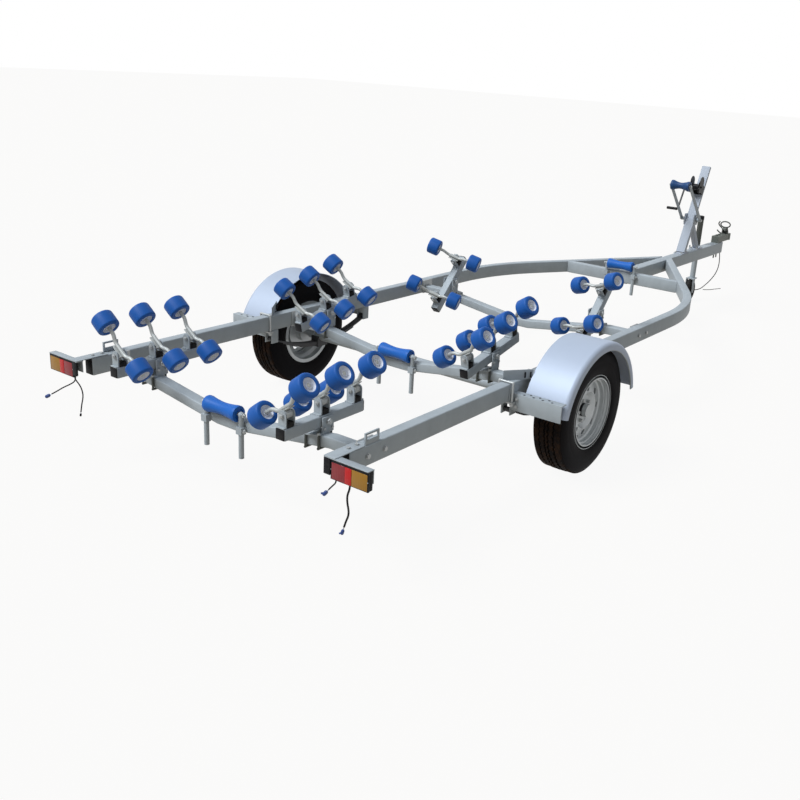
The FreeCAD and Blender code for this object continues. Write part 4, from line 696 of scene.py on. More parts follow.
class TRAILER_OT_tyres(bpy.types.Operator):
    """Build the two tyres with their zigzag tread"""
    bl_idname = "trailer.tyres"
    bl_label = "Tyres"

    def execute(self, context):
        sizes = context.scene.trailer_sizes
        steps = sizes.tread_steps * 2
        for side in SIDES:
            node = f"tyre_{side}"
            low, high, centre = box_and_middle(node)
            radius, half = (high.z - low.z) / 2, (high.x - low.x) / 2
            floor = radius - sizes.tread_depth
            wall = [(half * share, radius * BEAD_SHARE + rise * MM) for share, rise in TYRE_WALL]
            wall += [(half * 0.85, floor - 3 * MM), (half * 0.78, floor)]
            tyre = Piece()
            tyre.turned(wall + mirrored(wall), centre, X_AXIS, steps=128, closed=True)
            for start, end in TREAD_RIBS:
                reach = max(abs(start), abs(end))
                shoulder = reach > SHOULDER_SHARE
                rib = tread_rib(half * start, half * end, floor, radius - CROWN_DROP * reach ** 2, shoulder)
                band = turned_shape(rib, centre, X_AXIS, steps, closed=True)
                for vert in band.verts:
                    out = vert.co - centre
                    if not (shoulder and abs(out.x) > half * SHOULDER_SHARE):
                        step = round(math.atan2(out.z, out.y) / math.tau * steps)
                        vert.co.x += sizes.tread_swing * (1 if step % 2 else -1)
                tyre.join(band, 1)
            tyre.finish(f"tyre_{side}_treaded", NODES[node]["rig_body"], "tyre_rubber", ["tyre", "tread"],
                        [node])
        return {"FINISHED"}


# Profiles of (along the axle, radius): the lip from the rim's outer edge, the others from the disc.
RIM_LIP = ((-12, -17), (-8, -12), (-7, -3), (-3, 0), (0, -3), (0, -14), (-10, -21), (-24, -22), (-27, -30),
           (-46, -31), (-52, -41), (-74, -43), (-74, -37), (-46, -25))
WHEEL_CAP = ((-6, 0), (-6, 34.5), (12, 34.5), (22, 31), (28, 22), (30, 0))
DISC_RIDGE = ((-10, 82), (4, 86), (9, 96), (4, 106), (-10, 110))
DISC_DEPTH = 60 * MM
WHEEL_NUTS = 5
NUT_CIRCLE = 56 * MM
VALVE_PLACE = Vector((0, -90, -112)) * MM


class TRAILER_OT_rims(bpy.types.Operator):
    """Build the stepped rims with their discs, hubs and wheel nuts"""
    bl_idname = "trailer.rims"
    bl_label = "Rims"

    def execute(self, context):
        for side, sign in SIDES.items():
            node = f"rim_{side}"
            low, high, centre = box_and_middle(node)
            radius, half = (high.z - low.z) / 2, (high.x - low.x) / 2
            out = X_AXIS * sign
            shape = Piece()
            shape.turned(in_metres(RIM_LIP, half, radius), centre, out, steps=96, closed=True)
            face = half - DISC_DEPTH
            for index in range(WHEEL_NUTS):
                place = centre + out * (face - 4 * MM) + ray_of(index + 0.5, WHEEL_NUTS) * NUT_CIRCLE
                shape.rod(place, place + out * 20 * MM, 10.5 * MM, 6, end_radius=8.5 * MM, material=1,
                          soft=MM)
            shape.turned(in_metres(WHEEL_CAP, face), centre, out, steps=36, material=3)
            valve = centre + out * (face + 4 * MM) + VALVE_PLACE
            shape.rod(valve, valve + out * 30 * MM, 4.5 * MM, 12, material=2, soft=MM)
            shape.turned(in_metres(DISC_RIDGE, face), centre, out, steps=72, closed=True)
            shape.finish(f"wheel_fittings_{side}", NODES[node]["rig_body"], "rim_steel",
                         ["rim", "bright", "rubber", "black"])
        return {"FINISHED"}


BEAD_STEPS = 48
HOLE_RIM = ((-0.6, 0), (-0.6, 6.2), (0.3, 6.2), (0.8, 5.4), (0.8, 4.8), (0.2, 4.6), (0.2, 0))
# Rows of holes in the step: share of its depth, first hole's distance from the rail, and how many.
HOLE_ROWS = ((0.28, 60 * MM, 4), (0.68, 85 * MM, 3))
HOLE_PITCH = 50 * MM
BRACKET_BOLT = 9 * MM


class TRAILER_OT_mudguards(bpy.types.Operator):
    """Add the mudguards' rolled bead, the bolts of their brackets, and black painted shade in the brackets'
    holes and by their web
    """
    bl_idname = "trailer.mudguards"
    bl_label = "Mudguard edges"

    def execute(self, context):
        for side, sign in SIDES.items():
            self.roll_edge(side, sign, context.scene.trailer_sizes.bead_radius)
            self.dress_step(side, sign)
        return {"FINISHED"}

    def roll_edge(self, side, sign, thick):
        """Round bead along the outer edge, whose arc is found from the mudguard's top and end."""
        wheel_y = JOINTS["wheel_right_spin"]["pos_m"][1]
        points = points_of(f"mudguard_{side}", sign)
        high = box_of(points)[1]
        end = max(points, key=lambda point: point.y)
        height = (high.z ** 2 - end.z ** 2 - (end.y - wheel_y) ** 2) / (2 * (high.z - end.z))
        lip = min(math.hypot(point.y - wheel_y, point.z - height) for point in points)
        angles = [math.atan2(point.z - height, point.y - wheel_y) for point in points]
        start, stop = min(angles), max(angles)
        bead = []
        for index in range(BEAD_STEPS + 1):
            angle = start + (stop - start) * index / BEAD_STEPS
            bead.append((sign * (high.x - thick), wheel_y + lip * math.cos(angle),
                         height + lip * math.sin(angle)))
        edge = Piece()
        edge.bent_rod(bead, thick)
        edge.finish(f"mudguard_bead_{side}", "chassis", "mudguard_sheet", ["zinc"])

    def dress_step(self, side, sign):
        """Black discs of painted shade in the holes of the step's tread, the bolts that hold step and arm,
        and black blocks of painted shadow in the gap by the web.
        """
        points = points_of("mudguard_brackets", sign)
        wheel_y = JOINTS["wheel_right_spin"]["pos_m"][1]
        step_low, step_high = box_of([p for p in points if p.x > 1.05 and p.y < wheel_y])
        arm_low, arm_high = box_of([p for p in points if p.x > 0.9 and p.y > wheel_y])
        rail_high = box_of([p for p in points_of(f"side_rail_{side}", sign) if p.y < wheel_y])[1]
        rail, back, top = rail_high.x, step_low.y, step_high.z
        # Each hole is a black disc with a raised lip: painted shade for the dark inside the hole.
        holes = Piece()
        for share, start, count in HOLE_ROWS:
            for index in range(count):
                place = (sign * (rail + start + HOLE_PITCH * index), back + (step_high.y - back) * share, top)
                holes.turned(in_metres(HOLE_RIM), place, Z_AXIS, 20)
        holes.finish(f"step_holes_{side}", "chassis", "lamp_black", ["black"])
        bolts = Piece()
        out = X_AXIS * sign
        for drop in (24 * MM, 62 * MM):
            bolts.bolt((sign * (rail + 28 * MM), back, top - drop), -Y_AXIS, BRACKET_BOLT, stem=2 * MM)
        washer = sign * (rail + 6 * MM)
        for y in (back + 30 * MM, back + 80 * MM):
            bolts.bolt((washer, y, top - 30 * MM), out, BRACKET_BOLT)
        bolts.bolt((washer, (arm_low.y + arm_high.y) / 2 + 20 * MM, arm_high.z + 50 * MM), out, 10 * MM)
        bolts.bolt((sign * (rail + arm_high.x) / 2, arm_high.y, (arm_low.z + arm_high.z) / 2), Y_AXIS,
                   BRACKET_BOLT)
        bolts.finish(f"mudguard_bolts_{side}", "chassis", "bright_zinc", ["bright"])
        web_low, web_high = box_of([p for p in points if p.z > rail_high.z + 40 * MM])
        run = Vector((sign * (web_high.x - web_low.x), web_high.y - web_low.y, 0))
        start = Vector((sign * web_low.x, web_low.y, rail_high.z + 8 * MM))
        along = run.normalized()
        # Two black blocks stand on the web where the gap between the bracket plate and the mudguard's lip
        # lies in shadow: painted shadow.
        gap_shadows = Piece()
        for share in (0.72, 0.90):
            gap_shadows.block((-4 * MM, -7.5 * MM, 0), (4 * MM, 7.5 * MM, 30 * MM), soft=3 * MM,
                        matrix=frame_at(start + run * share, along, Z_AXIS.cross(along), Z_AXIS))
        gap_shadows.finish(f"web_slots_{side}", "chassis", "lamp_black", ["black"])


LENS_FOOT = 2 * MM
LENS_BROW = 11 * MM
LENS_GAP = 0.5 * MM
RED_SHARE = 0.68


class TRAILER_OT_lamps(bpy.types.Operator):
    """Finish the rear lamps with their cases, lenses and screws"""
    bl_idname = "trailer.lamps"
    bl_label = "Lamps"

    def execute(self, context):
        for side, sign in SIDES.items():
            low, high = box_of(points_of("lamp_housings", sign))
            red_low, red_high = box_of(points_of("lamp_lenses_red", sign))
            amber_low, amber_high = box_of(points_of("lamp_lenses_amber", sign))
            plate_low, plate_high = box_of(points_of("lamp_brackets", sign))
            front = red_low.y + 2 * MM
            foot, brow = low.z + LENS_FOOT, high.z - LENS_BROW
            case = Piece()
            for x0, x1, z0, z1 in ((low.x, high.x, low.z, foot), (low.x, high.x, brow, high.z),
                                   (low.x, red_low.x, foot, brow), (amber_high.x, high.x, foot, brow)):
                case.side_block(sign, (x0, front, z0), (x1, low.y + MM, z1), soft=0.8 * MM)
            case.side_block(sign, low, high, soft=5 * MM, segments=4)
            case.side_block(sign, (low.x - 33 * MM, plate_low.y - 2 * MM, low.z + 14 * MM),
                            (low.x - MM, plate_low.y + 6 * MM, high.z + MM), soft=2 * MM)
            case.finish(f"lamp_case_{side}", "chassis", "lamp_black", ["black"], ["lamp_housings"])
            split = red_low.x + (red_high.x - red_low.x) * RED_SHARE
            for name, x0, x1, tone, look, face in (
                    ("red", red_low.x, split - LENS_GAP, "red", "red", MM),
                    ("bright", split, red_high.x, "red", "bright_red", 0),
                    ("amber", amber_low.x, amber_high.x, "amber", "amber", MM)):
                lens = Piece()
                lens.side_block(sign, (x0, red_low.y + face, foot + LENS_GAP),
                                (x1, low.y + MM, brow - LENS_GAP), soft=1.2 * MM, segments=3)
                lens.finish(f"lamp_lens_{name}_{side}", "chassis", f"lens_{tone}", [look],
                            [f"lamp_lenses_{tone}"])
            screws = Piece()
            middle = (low.z + high.z) / 2
            for x in (low.x + 2.5 * MM, high.x - 2.5 * MM):
                screws.rod((sign * x, front + MM, middle), (sign * x, front - 1.2 * MM, middle), 2 * MM, 12)
            rail_low, rail_high = box_of([p for p in points_of(f"side_rail_{side}", sign) if p.y < -3])
            for y in (rail_low.y + 22 * MM, rail_low.y + 72 * MM):
                screws.bolt((sign * (rail_low.x + rail_high.x) / 2, y, plate_high.z), Z_AXIS, 8 * MM)
            screws.finish(f"lamp_screws_{side}", "chassis", "bright_zinc", ["bright"])
        return {"FINISHED"}


ROD_RADIUS = 9 * MM
SLEEVE_DROP = 16 * MM
SLEEVE_RADIUS = 17 * MM
SLEEVE_HALF = 20 * MM
EAR_THICK = 6 * MM
EAR_RADIUS = 21 * MM
PLATE_THICK = 5 * MM
ROLLER_HALF = 37.5 * MM
ROLLER_RADIUS = 52 * MM
ROLLER_EASE = 10 * MM
BEAM_HALF = 25 * MM
HUB_RADIUS = 30 * MM
HUB_DEPTH = 13 * MM
# The hub's stepped face from its outer wall to its bore, measured from its floor.
HUB_FACE = ((8, 26.8), (3.6, 22.5), (1.6, 17), (1.6, 14.8), (5.8, 14), (6.6, 12.8), (6.6, 9.8), (0, 9.2))
HUB_SPOKES = 6


def add_rocker(metal, place, along):
    """Rod, plate, sleeve and bracket of one rocker."""
    matrix, beam = place.rocker_frame(along), place.beam_frame(along)
    bow, tip = place.bow, place.spread + ROLLER_HALF - 10 * MM
    rest = PLATE_THICK + ROD_RADIUS - MM
    half = [(22 * MM, rest), (44 * MM, rest), (74 * MM, bow), (96 * MM, bow), (tip, bow)]
    line = [(-x, 0, z) for x, z in reversed(half)] + [(x, 0, z) for x, z in half]
    metal.bent_rod(line, ROD_RADIUS, sides=20, matrix=matrix, material=3)
    metal.block((-33 * MM, -17 * MM, 0), (33 * MM, 17 * MM, PLATE_THICK), soft=1.2 * MM, matrix=matrix,
                material=3)
    centre = matrix.translation - place.normal * SLEEVE_DROP
    axis = place.beam_axis
    reach = axis * SLEEVE_HALF
    metal.rod(centre - reach, centre + reach, SLEEVE_RADIUS, 28, soft=MM, material=3)
    drop = place.height - SLEEVE_DROP - BEAM_HALF
    outer = SLEEVE_HALF + EAR_THICK
    for sign in (-1, 1):
        start = centre + axis * (SLEEVE_HALF if sign > 0 else -outer)
        metal.ear(EAR_RADIUS, drop, EAR_THICK, frame_at(start, X_AXIS, place.normal, axis))
        metal.bolt(centre + axis * sign * outer, axis * sign, 10.5 * MM, stem=3 * MM, material=1)
        near, far = sorted((sign * (outer - MM), sign * (outer + 12 * MM)))
        metal.block((-EAR_RADIUS, near, BEAM_HALF), (EAR_RADIUS, far, BEAM_HALF + 5 * MM), soft=MM,
                    matrix=beam)
    metal.block((-23 * MM, MM - SLEEVE_HALF, BEAM_HALF), (23 * MM, SLEEVE_HALF - MM, BEAM_HALF + 22 * MM),
                soft=3 * MM, matrix=beam, material=2)


def roller_profile():
    """Closed profile of a wobble roller, with round edges and a recess in each face."""
    half, radius = ROLLER_HALF, ROLLER_RADIUS
    side = []
    for degrees in range(0, 91, 15):
        angle = math.radians(degrees)
        side.append((half - ROLLER_EASE + ROLLER_EASE * math.sin(angle),
                     radius - ROLLER_EASE + ROLLER_EASE * math.cos(angle)))
    side += [(half, HUB_RADIUS + 3 * MM), (half - 2.2 * MM, HUB_RADIUS + MM), (half - HUB_DEPTH, HUB_RADIUS)]
    return mirrored(side) + [(0.0, radius + 0.4 * MM)] + side


def add_hub(hubs, base, axis, across):
    """Spoked hub in one face of a roller."""
    wall = HUB_RADIUS + 0.6 * MM
    profile = [(0.0, wall), (HUB_DEPTH - 3 * MM, wall), (HUB_DEPTH - 2 * MM, HUB_RADIUS - MM)]
    hubs.turned(profile + in_metres(HUB_FACE), base, axis, steps=40, closed=True)
    for spoke in range(HUB_SPOKES):
        angle = math.tau * spoke / HUB_SPOKES
        ray = across[0] * math.cos(angle) + across[1] * math.sin(angle)
        hubs.block((13 * MM, -1.4 * MM, 0.8 * MM), (25 * MM, 1.4 * MM, 4.6 * MM), soft=0,
                   matrix=frame_at(base, ray, axis.cross(ray), axis))


def add_wobble_rollers(rollers, hubs, place, along):
    """The two rollers of one rocker with the spoked hubs in their faces."""
    matrix, axis = place.rocker_frame(along), place.lean_axis
    across = place.beam_axis, axis.cross(place.beam_axis)
    for sign in (-1, 1):
        middle = matrix @ Vector((sign * place.spread, 0, place.bow))
        rollers.turned(roller_profile(), middle, axis, steps=56, closed=True)
        for end in (-1, 1):
            base = middle + axis * end * (ROLLER_HALF - HUB_DEPTH - 0.5 * MM)
            add_hub(hubs, base, axis * end, across)
        outer = middle + axis * sign * (ROLLER_HALF - HUB_DEPTH - 2 * MM)
        hubs.rod(outer, outer + axis * sign * 8.5 * MM, 8.8 * MM, 18, material=1, soft=1.2 * MM)


class TRAILER_OT_rollers(bpy.types.Operator):
    """Build the six beams with their rockers, brackets and wobble rollers"""
    bl_idname = "trailer.rollers"
    bl_label = "Roller sets"

    def execute(self, context):
        ease = context.scene.trailer_sizes.tube_round * 0.8
        half, inner = BEAM_HALF, BEAM_HALF - 2 * MM
        for place in ROLLER_SETS:
            name = f"{place.name}_{place.side}"
            tube = Piece()
            tube.block((-half, place.low, -half), (half, place.high, half), soft=ease,
                       matrix=place.beam_frame(), segments=3)
            for near, far in ((place.low - 4 * MM, place.low + MM), (place.high - MM, place.high + 4 * MM)):
                tube.block((-inner, near, -inner), (inner, far, inner), soft=2.5 * MM,
                           matrix=place.beam_frame(), material=1)
            tube.finish(f"beam_tube_{name}", place.body, "galvanised_steel", ["zinc", "black"],
                        [f"roller_beam_{name}"])
            metal, hubs, rollers = Piece(), Piece(), Piece()
            for along in sorted(place.rows):
                add_rocker(metal, place, along)
                add_wobble_rollers(rollers, hubs, place, along)
            metal.finish(f"rockers_{name}", place.body, "galvanised_steel",
                         ["zinc", "bright", "rubber", "rod"], [f"roller_beam_{name}"])
            rollers.finish(f"wobble_rollers_{name}", place.body, "roller_blue", ["roller"],
                           [f"rollers_{name}"])
            hubs.finish(f"roller_hubs_{name}", place.body, "roller_blue", ["hub", "rod"])
        return {"FINISHED"}


CLAMP_BOLT = 11.5 * MM
STRAP_RADIUS = 5.5 * MM
STRAP_GAP = 6.5 * MM
STRAP_SPREAD = 36 * MM


class TRAILER_OT_pedestals(bpy.types.Operator):
    """Add the pins, bolts and U-bolts of the pedestals, and the bolts of the crossmembers"""
    bl_idname = "trailer.pedestals"
    bl_label = "Pedestal and crossmember bolts"

    def execute(self, context):
        bolts, straps = Piece(), Piece()
        for place in ROLLER_SETS:
            self.dress_pedestal(place, bolts, straps)
        bolts.finish("pedestal_bolts", "chassis", "bright_zinc", ["bright"])
        # The U-bolts take the dark plated steel in place of bright zinc: painted shade, for the shade that
        # they stand in by the crossmember.
        straps.finish("pedestal_straps", "chassis", "bright_zinc", ["dark"])
        clamps = Piece()
        for side, sign in SIDES.items():
            low, high = box_of([point for point in points_of(f"side_rail_{side}", sign) if point.y < -3])
            for points, faces in separate_solids("crossmember_clamps"):
                inner = min(abs(point.x) for point in points)
                if points[0].x * sign > 0 and inner > high.x - MM:
                    middle = middle_of(points)
                    clamps.bolt((sign * inner, middle.y, middle.z), X_AXIS * sign, CLAMP_BOLT)
            foot_low, foot_high = box_of([point for point in points_of("crossmember_clamps", sign)
                                          if point.z < low.z - 20 * MM])
            radius = (foot_high.y - foot_low.y) / 2
            for x in (foot_low.x + radius, foot_high.x - radius):
                clamps.bolt((sign * x, foot_low.y + radius, foot_low.z + 15 * MM), -Z_AXIS, CLAMP_BOLT)
        clamps.finish("clamp_nuts", "chassis", "bright_zinc", ["bright"])
        return {"FINISHED"}

    def dress_pedestal(self, place, bolts, straps):
        """Pin ends, cheek bolts and the U-bolts round the crossmember of one pedestal."""
        node = f"crossmember_{place.name}"
        low, high, middle = box_and_middle(node)
        rear, front = low.y - STRAP_GAP, high.y + STRAP_GAP
        pin = place.pin
        for sign in (-1, 1):
            across = X_AXIS * sign
            cheek = hit("beam_pedestals", pin + across * 0.2 + Y_AXIS * 24 * MM, -across).x
            bolts.bolt((cheek, pin.y, pin.z), across, 14 * MM, stem=3 * MM)
            for y in (-22 * MM, 22 * MM):
                bolts.bolt((cheek, pin.y + y, pin.z - 30 * MM), across, 7 * MM)
            x = pin.x + sign * STRAP_SPREAD
            foot = hit("beam_pedestals", (x, rear, 0), Z_AXIS).z
            under = hit(node, (x, middle.y, 0), Z_AXIS).z - STRAP_RADIUS
            straps.rod((x, rear, under), (x, rear, foot + 18 * MM), STRAP_RADIUS, 14, soft=0.8 * MM)
            straps.rod((x, front, under), (x, front, foot + MM), STRAP_RADIUS, 14)
            straps.rod((x, rear - STRAP_RADIUS, under), (x, front + STRAP_RADIUS, under), STRAP_RADIUS, 14,
                       soft=MM)
            top = hit("beam_pedestals", (x, rear, foot + 16 * MM), -Z_AXIS).z
            bolts.bolt((x, rear, top), Z_AXIS, 9 * MM)


KEEL_NODES = ("keel_roller_rear", "keel_roller_middle", "keel_roller_front")
KEEL_WAIST = 0.76
BOW_WAIST = 0.62
WAIST_STEPS = 14


def waisted_profile(half, radius, waist):
    """Closed profile of a keel roller, whose waist is a share of its radius."""
    side = [(half - 4 * MM, 9.5 * MM), (half - 4 * MM, radius * 0.62), (half, radius * 0.66),
            (half, radius - 4 * MM), (half - 1.2 * MM, radius - 1.2 * MM), (half - 4 * MM, radius)]
    belly = []
    for index in range(WAIST_STEPS + 1):
        share = 1 - 2 * index / WAIST_STEPS
        belly.append((share * (half - 16 * MM), radius * (waist + (1 - waist) * abs(share) ** 1.7)))
    return side + belly + mirrored(side)


class TRAILER_OT_keel_rollers(bpy.types.Operator):
    """Build the keel rollers and the bow roller with smooth waists"""
    bl_idname = "trailer.keel_rollers"
    bl_label = "Keel and bow rollers"

    def execute(self, context):
        for node in (*KEEL_NODES, "bow_roller"):
            low, high, centre = box_and_middle(node)
            at_bow = node == "bow_roller"
            profile = waisted_profile((high.x - low.x) / 2, (high.z - low.z) / 2,
                                      BOW_WAIST if at_bow else KEEL_WAIST)
            shape = Piece()
            shape.turned(profile, centre, X_AXIS, steps=64, closed=True)
            shape.finish(f"{node}_turned", NODES[node]["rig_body"],
                         "bow_roller_blue" if at_bow else "keel_blue", ["bow" if at_bow else "keel"], [node])
        nuts = Piece()
        for node in KEEL_NODES:
            centre = box_and_middle(node)[2]
            for sign in (-1, 1):
                across = X_AXIS * sign
                place = hit("keel_roller_stems", centre + across * 0.3, -across) - across * MM
                nuts.bolt(place, across, 11 * MM, stem=3 * MM)
        for sign in SIDES.values():
            points = points_of("keel_roller_stems", sign)
            outer = max(point.x for point in points)
            clamps = [point for point in points if point.x > outer - MM]
            for y in sorted({round(point.y, 1) for point in clamps}):
                middle = middle_of([point for point in clamps if abs(point.y - y) < 0.1])
                nuts.bolt((sign * outer, middle.y, middle.z), X_AXIS * sign, 10 * MM, stem=4 * MM)
        nuts.finish("keel_axle_nuts", "chassis", "bright_zinc", ["bright"])
        return {"FINISHED"}


GEAR_RING = ((30, 12), (30, 46), (34, 46), (34, 12))
GEAR_TEETH = 30
STRAP_ROLL = ((-28, 16), (-27, 24.5), (-12, 26), (12, 25.5), (27, 24.5), (28, 16))
GRIP_RINGS = 10
ARM_PIVOT = Vector((0, 2.207, 0.800))
PIVOT_BOLTS = ((-26, -22), (26, -22), (0, 28))
CHEEK_THICK = 3 * MM
CHEEK_OFFSET = Vector((0, 6, 42)) * MM


class TRAILER_OT_winch(bpy.types.Operator):
    """Build the winch's gear, side plates and crank, and the bolts of the post"""
    bl_idname = "trailer.winch"
    bl_label = "Winch and post"

    def execute(self, context):
        joint = Vector(JOINTS["winch_crank_turn"]["pos_m"])
        self.turn_drum(joint, "winch_crank")
        self.bolt_post()
        cheeks = Piece()
        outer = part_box("winch_frame")[1].x + 0.3 * MM
        for start in (outer, -outer - CHEEK_THICK):
            centre = joint + X_AXIS * (start - joint.x) + CHEEK_OFFSET
            cheeks.ear(46 * MM, 88 * MM, CHEEK_THICK, frame_at(centre, Y_AXIS, Z_AXIS, X_AXIS))
        cheeks.finish("winch_cheeks", "chassis", "winch_black", ["winch"])
        return {"FINISHED"}

    def turn_drum(self, joint, body):
        """What turns with the crank: the gear, the rolled strap and the ribbed grip."""
        gear = Piece()
        gear.turned(in_metres(GEAR_RING), joint, X_AXIS, 72, closed=True)
        for tooth in range(GEAR_TEETH):
            ray = ray_of(tooth, GEAR_TEETH)
            gear.block((45.5 * MM, -2.8 * MM, 30 * MM), (50.5 * MM, 2.8 * MM, 34 * MM), soft=0.6 * MM,
                       matrix=frame_at(joint, ray, X_AXIS.cross(ray), X_AXIS), segments=1)
        gear.finish("winch_gear", body, "winch_black", ["winch"])
        strap = Piece()
        strap.turned(in_metres(STRAP_ROLL), joint, X_AXIS, closed=True)
        strap.finish("winch_strap", body, "winch_black", ["black"])
        low, high, middle = box_and_middle("winch_grip")
        length, radius = high.x - low.x, (high.z - low.z) / 2
        rings = [(0.0, radius * 0.62), (0.0, radius * 0.86), (3 * MM, radius)]
        rings += [(length * (0.12 + 0.08 * index), radius * (1 if index % 2 else 0.93))
                  for index in range(GRIP_RINGS)]
        rings += [(length - 3 * MM, radius), (length, radius * 0.86), (length, radius * 0.62)]
        grip = Piece()
        grip.turned(rings, (low.x, middle.y, middle.z), X_AXIS, 32, closed=True)
        grip.finish("winch_grip_ribbed", body, "grip_black", ["black"], ["winch_grip"])

    def bolt_post(self):
        """Bolts of the arms' pivot, of the bow roller's ends and of the post's foot."""
        bolts = Piece()
        low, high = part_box("winch_post")
        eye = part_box("winch_arms")[1].x
        roller = Vector(JOINTS["bow_roller_spin"]["pos_m"])
        feet = (low.y + 10 * MM, low.y + 110 * MM, high.y - 110 * MM, high.y - 10 * MM)
        for sign in (-1, 1):
            out = X_AXIS * sign
            for y, z in PIVOT_BOLTS:
                place = ARM_PIVOT + Vector((sign * high.x, y * MM, z * MM))
                bolts.bolt(place, out, 9 * MM, stem=2 * MM)
            bolts.bolt(roller + out * eye, out, 11 * MM, stem=3 * MM)
            bolts.bolt(ARM_PIVOT + out * eye, out, 12 * MM, stem=3 * MM)
            for y in feet:
                bolts.bolt((sign * 26 * MM, y, low.z + 8 * MM), Z_AXIS, 10 * MM, stem=3 * MM)
        bolts.finish("post_bolts", "chassis", "bright_zinc", ["bright"])


LOOP_PLACE = 90 * MM
LOOP_POINTS = 10
LOOP_HALF = Vector((47, 0, 28)) * MM
LOOP_MIDDLE = Vector((-4, 0, 84)) * MM
# Lever of the coupling in millimetres: X across, Y from the loop's place, Z over the coupling's top.
LEVER_HOOK = ((-14, 0, 30), (-36, -4, 52), (-62, -8, 74), (-68, -10, 96), (-54, -10, 108))
LEVER_FOOT = ((-24, -20, 2), (-50, -24, 8), (-66, -28, 30))
LEVER_LEG = ((22, 0, 2), (26, 0, 30), (12, 0, 62))
COUPLING_BOLT_Z = (375 * MM, 422 * MM, 422.5 * MM)


class TRAILER_OT_coupling(bpy.types.Operator):
    """Build the coupling's lever loop, hooks and bolts"""
    bl_idname = "trailer.coupling"
    bl_label = "Coupling"

    def execute(self, context):
        low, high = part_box("coupling_body")
        start = Vector((0, high.y - LOOP_PLACE, high.z))
        shape = Piece()
        ring = []
        for index in range(LOOP_POINTS):
            angle = math.tau * index / LOOP_POINTS
            swing = Vector((LOOP_HALF.x * math.cos(angle), 0, LOOP_HALF.z * math.sin(angle)))
            ring.append(start + LOOP_MIDDLE + swing)
        shape.bent_rod(ring, 6 * MM, closed=True)
        for points, radius, sign in ((LEVER_HOOK, 5.5 * MM, 1), (LEVER_FOOT, 6 * MM, 1),
                                     (LEVER_LEG, 8 * MM, -1), (LEVER_LEG, 8 * MM, 1)):
            shape.bent_rod([start + Vector((sign * x, y, z)) * MM for x, y, z in points], radius)
        shape.finish("lever_loop", "chassis", "coupling_steel", ["dark"])
        bolts = Piece()
        tip, nut, under = COUPLING_BOLT_Z
        for y in (low.y + 30 * MM, low.y + 95 * MM):
            bolts.bolt((0, y, high.z), Z_AXIS, 12 * MM, stem=4 * MM)
            bolts.rod((0, y, tip), (0, y, nut), 6 * MM, 14, soft=MM)
            bolts.bolt((0, y, under), -Z_AXIS, 12 * MM)
        bolts.finish("coupling_bolts", "chassis", "bright_zinc", ["coupling"])
        return {"FINISHED"}


class TRAILER_OT_jockey(bpy.types.Operator):
    """Add the sleeve and the cap of the jockey leg"""
    bl_idname = "trailer.jockey"
    bl_label = "Jockey sleeve"

    def execute(self, context):
        low, high, middle = box_and_middle("jockey_leg")
        foot = Vector((middle.x, middle.y, 0))
        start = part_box("jockey_clamp")[1].z + 12 * MM
        tube = hit("jockey_leg", (middle.x + 0.2, middle.y, high.z - 30 * MM), -X_AXIS).x - middle.x
        top, wall = high.z, tube + 1.6 * MM
        sleeve = Piece()
        sleeve.turned([(start, 0.0), (start, tube + MM), (start + 2 * MM, wall), (top - 26 * MM, wall),
                       (top - 25 * MM, 0.0)], foot, Z_AXIS)
        sleeve.turned([(top - 28 * MM, 0.0), (top - 28 * MM, tube + 3 * MM), (top, tube + 3.2 * MM),
                       (top + 5 * MM, tube + MM), (top + 8 * MM, tube * 0.6), (top + 9 * MM, 0.0)],
                      foot, Z_AXIS, material=1)
        sleeve.finish("jockey_sleeve", "jockey_leg_body", "coupling_steel", ["dark", "black"])
        return {"FINISHED"}


# Each lead: where it leaves the trailer, its radius, its far end, and its route from there.
LEADS = {
    "lamp_lead_left_long": ((-0.822, -3.195, 0.441), 0.003, "plug", [
        (0, 0, 0), (0, 0, -22), (-22, -14, -42), (-56, -32, -62), (-86, -50, -86), (-108, -62, -101)]),
    "lamp_lead_left_short": ((-0.840, -3.189, 0.441), 0.003, "connector", [
        (0, 0, 0), (0, 0, -18), (32, 0, -36), (56, -2, -56), (58, 2, -92), (42, 0, -140), (36, -2, -176)]),
    "lamp_lead_right_short": ((0.824, -3.195, 0.441), 0.003, "plug", [
        (0, 0, 0), (0, 0, -18), (-16, -4, -36), (-30, -8, -54)]),
    "lamp_lead_right_long": ((0.892, -3.195, 0.441), 0.004, "connector", [
        (0, 0, 0), (0, 0, -22), (-8, -5, -48), (-6, -6, -78), (3, -6, -110), (1, -6, -134), (-10, -6, -158),
        (-18, -6, -184)]),
    "front_cable": ((-0.022, 3.005, 0.478), 0.004, "connector", [
        (0, 0, 0), (0, 46, 0), (-14, 96, 5), (-26, 150, -14), (-30, 202, -66), (-32, 254, -156),
        (-40, 284, -250), (-66, 292, -330), (-100, 262, -396), (-136, 214, -450), (-150, 150, -471),
        (-174, 96, -472)]),
    "front_cable_tail": ((-0.149, 3.193, 0.0035), 0.003, "bare", [
        (0, 0, 0), (20, 14, 0), (44, 44, 0), (62, 84, 0), (80, 140, 0), (106, 196, 0)]),
}
# Each plug: radius, length, material, the nodes that it stands for, and whether a second end branches off.
PLUGS = {
    "lamp_lead_left_long": (0.0085, 0.036, "plug", ["plug_shells"], False),
    "lamp_lead_left_short": (0.0048, 0.014, "black", [], False),
    "lamp_lead_right_short": (0.0080, 0.034, "plug", ["plug_shells"], True),
    "lamp_lead_right_long": (0.0070, 0.022, "plug", [], True),
    "front_cable": (0.0060, 0.022, "black", ["plug_shells"], True),
}
# Shares of the plug's length and of its radius.
PLUG_PROFILE = ((0, 0), (0, 0.55), (0.08, 0.75), (0.3, 1), (0.42, 0.93), (0.50, 1), (0.86, 0.97), (1, 0.8),
                (1, 0))


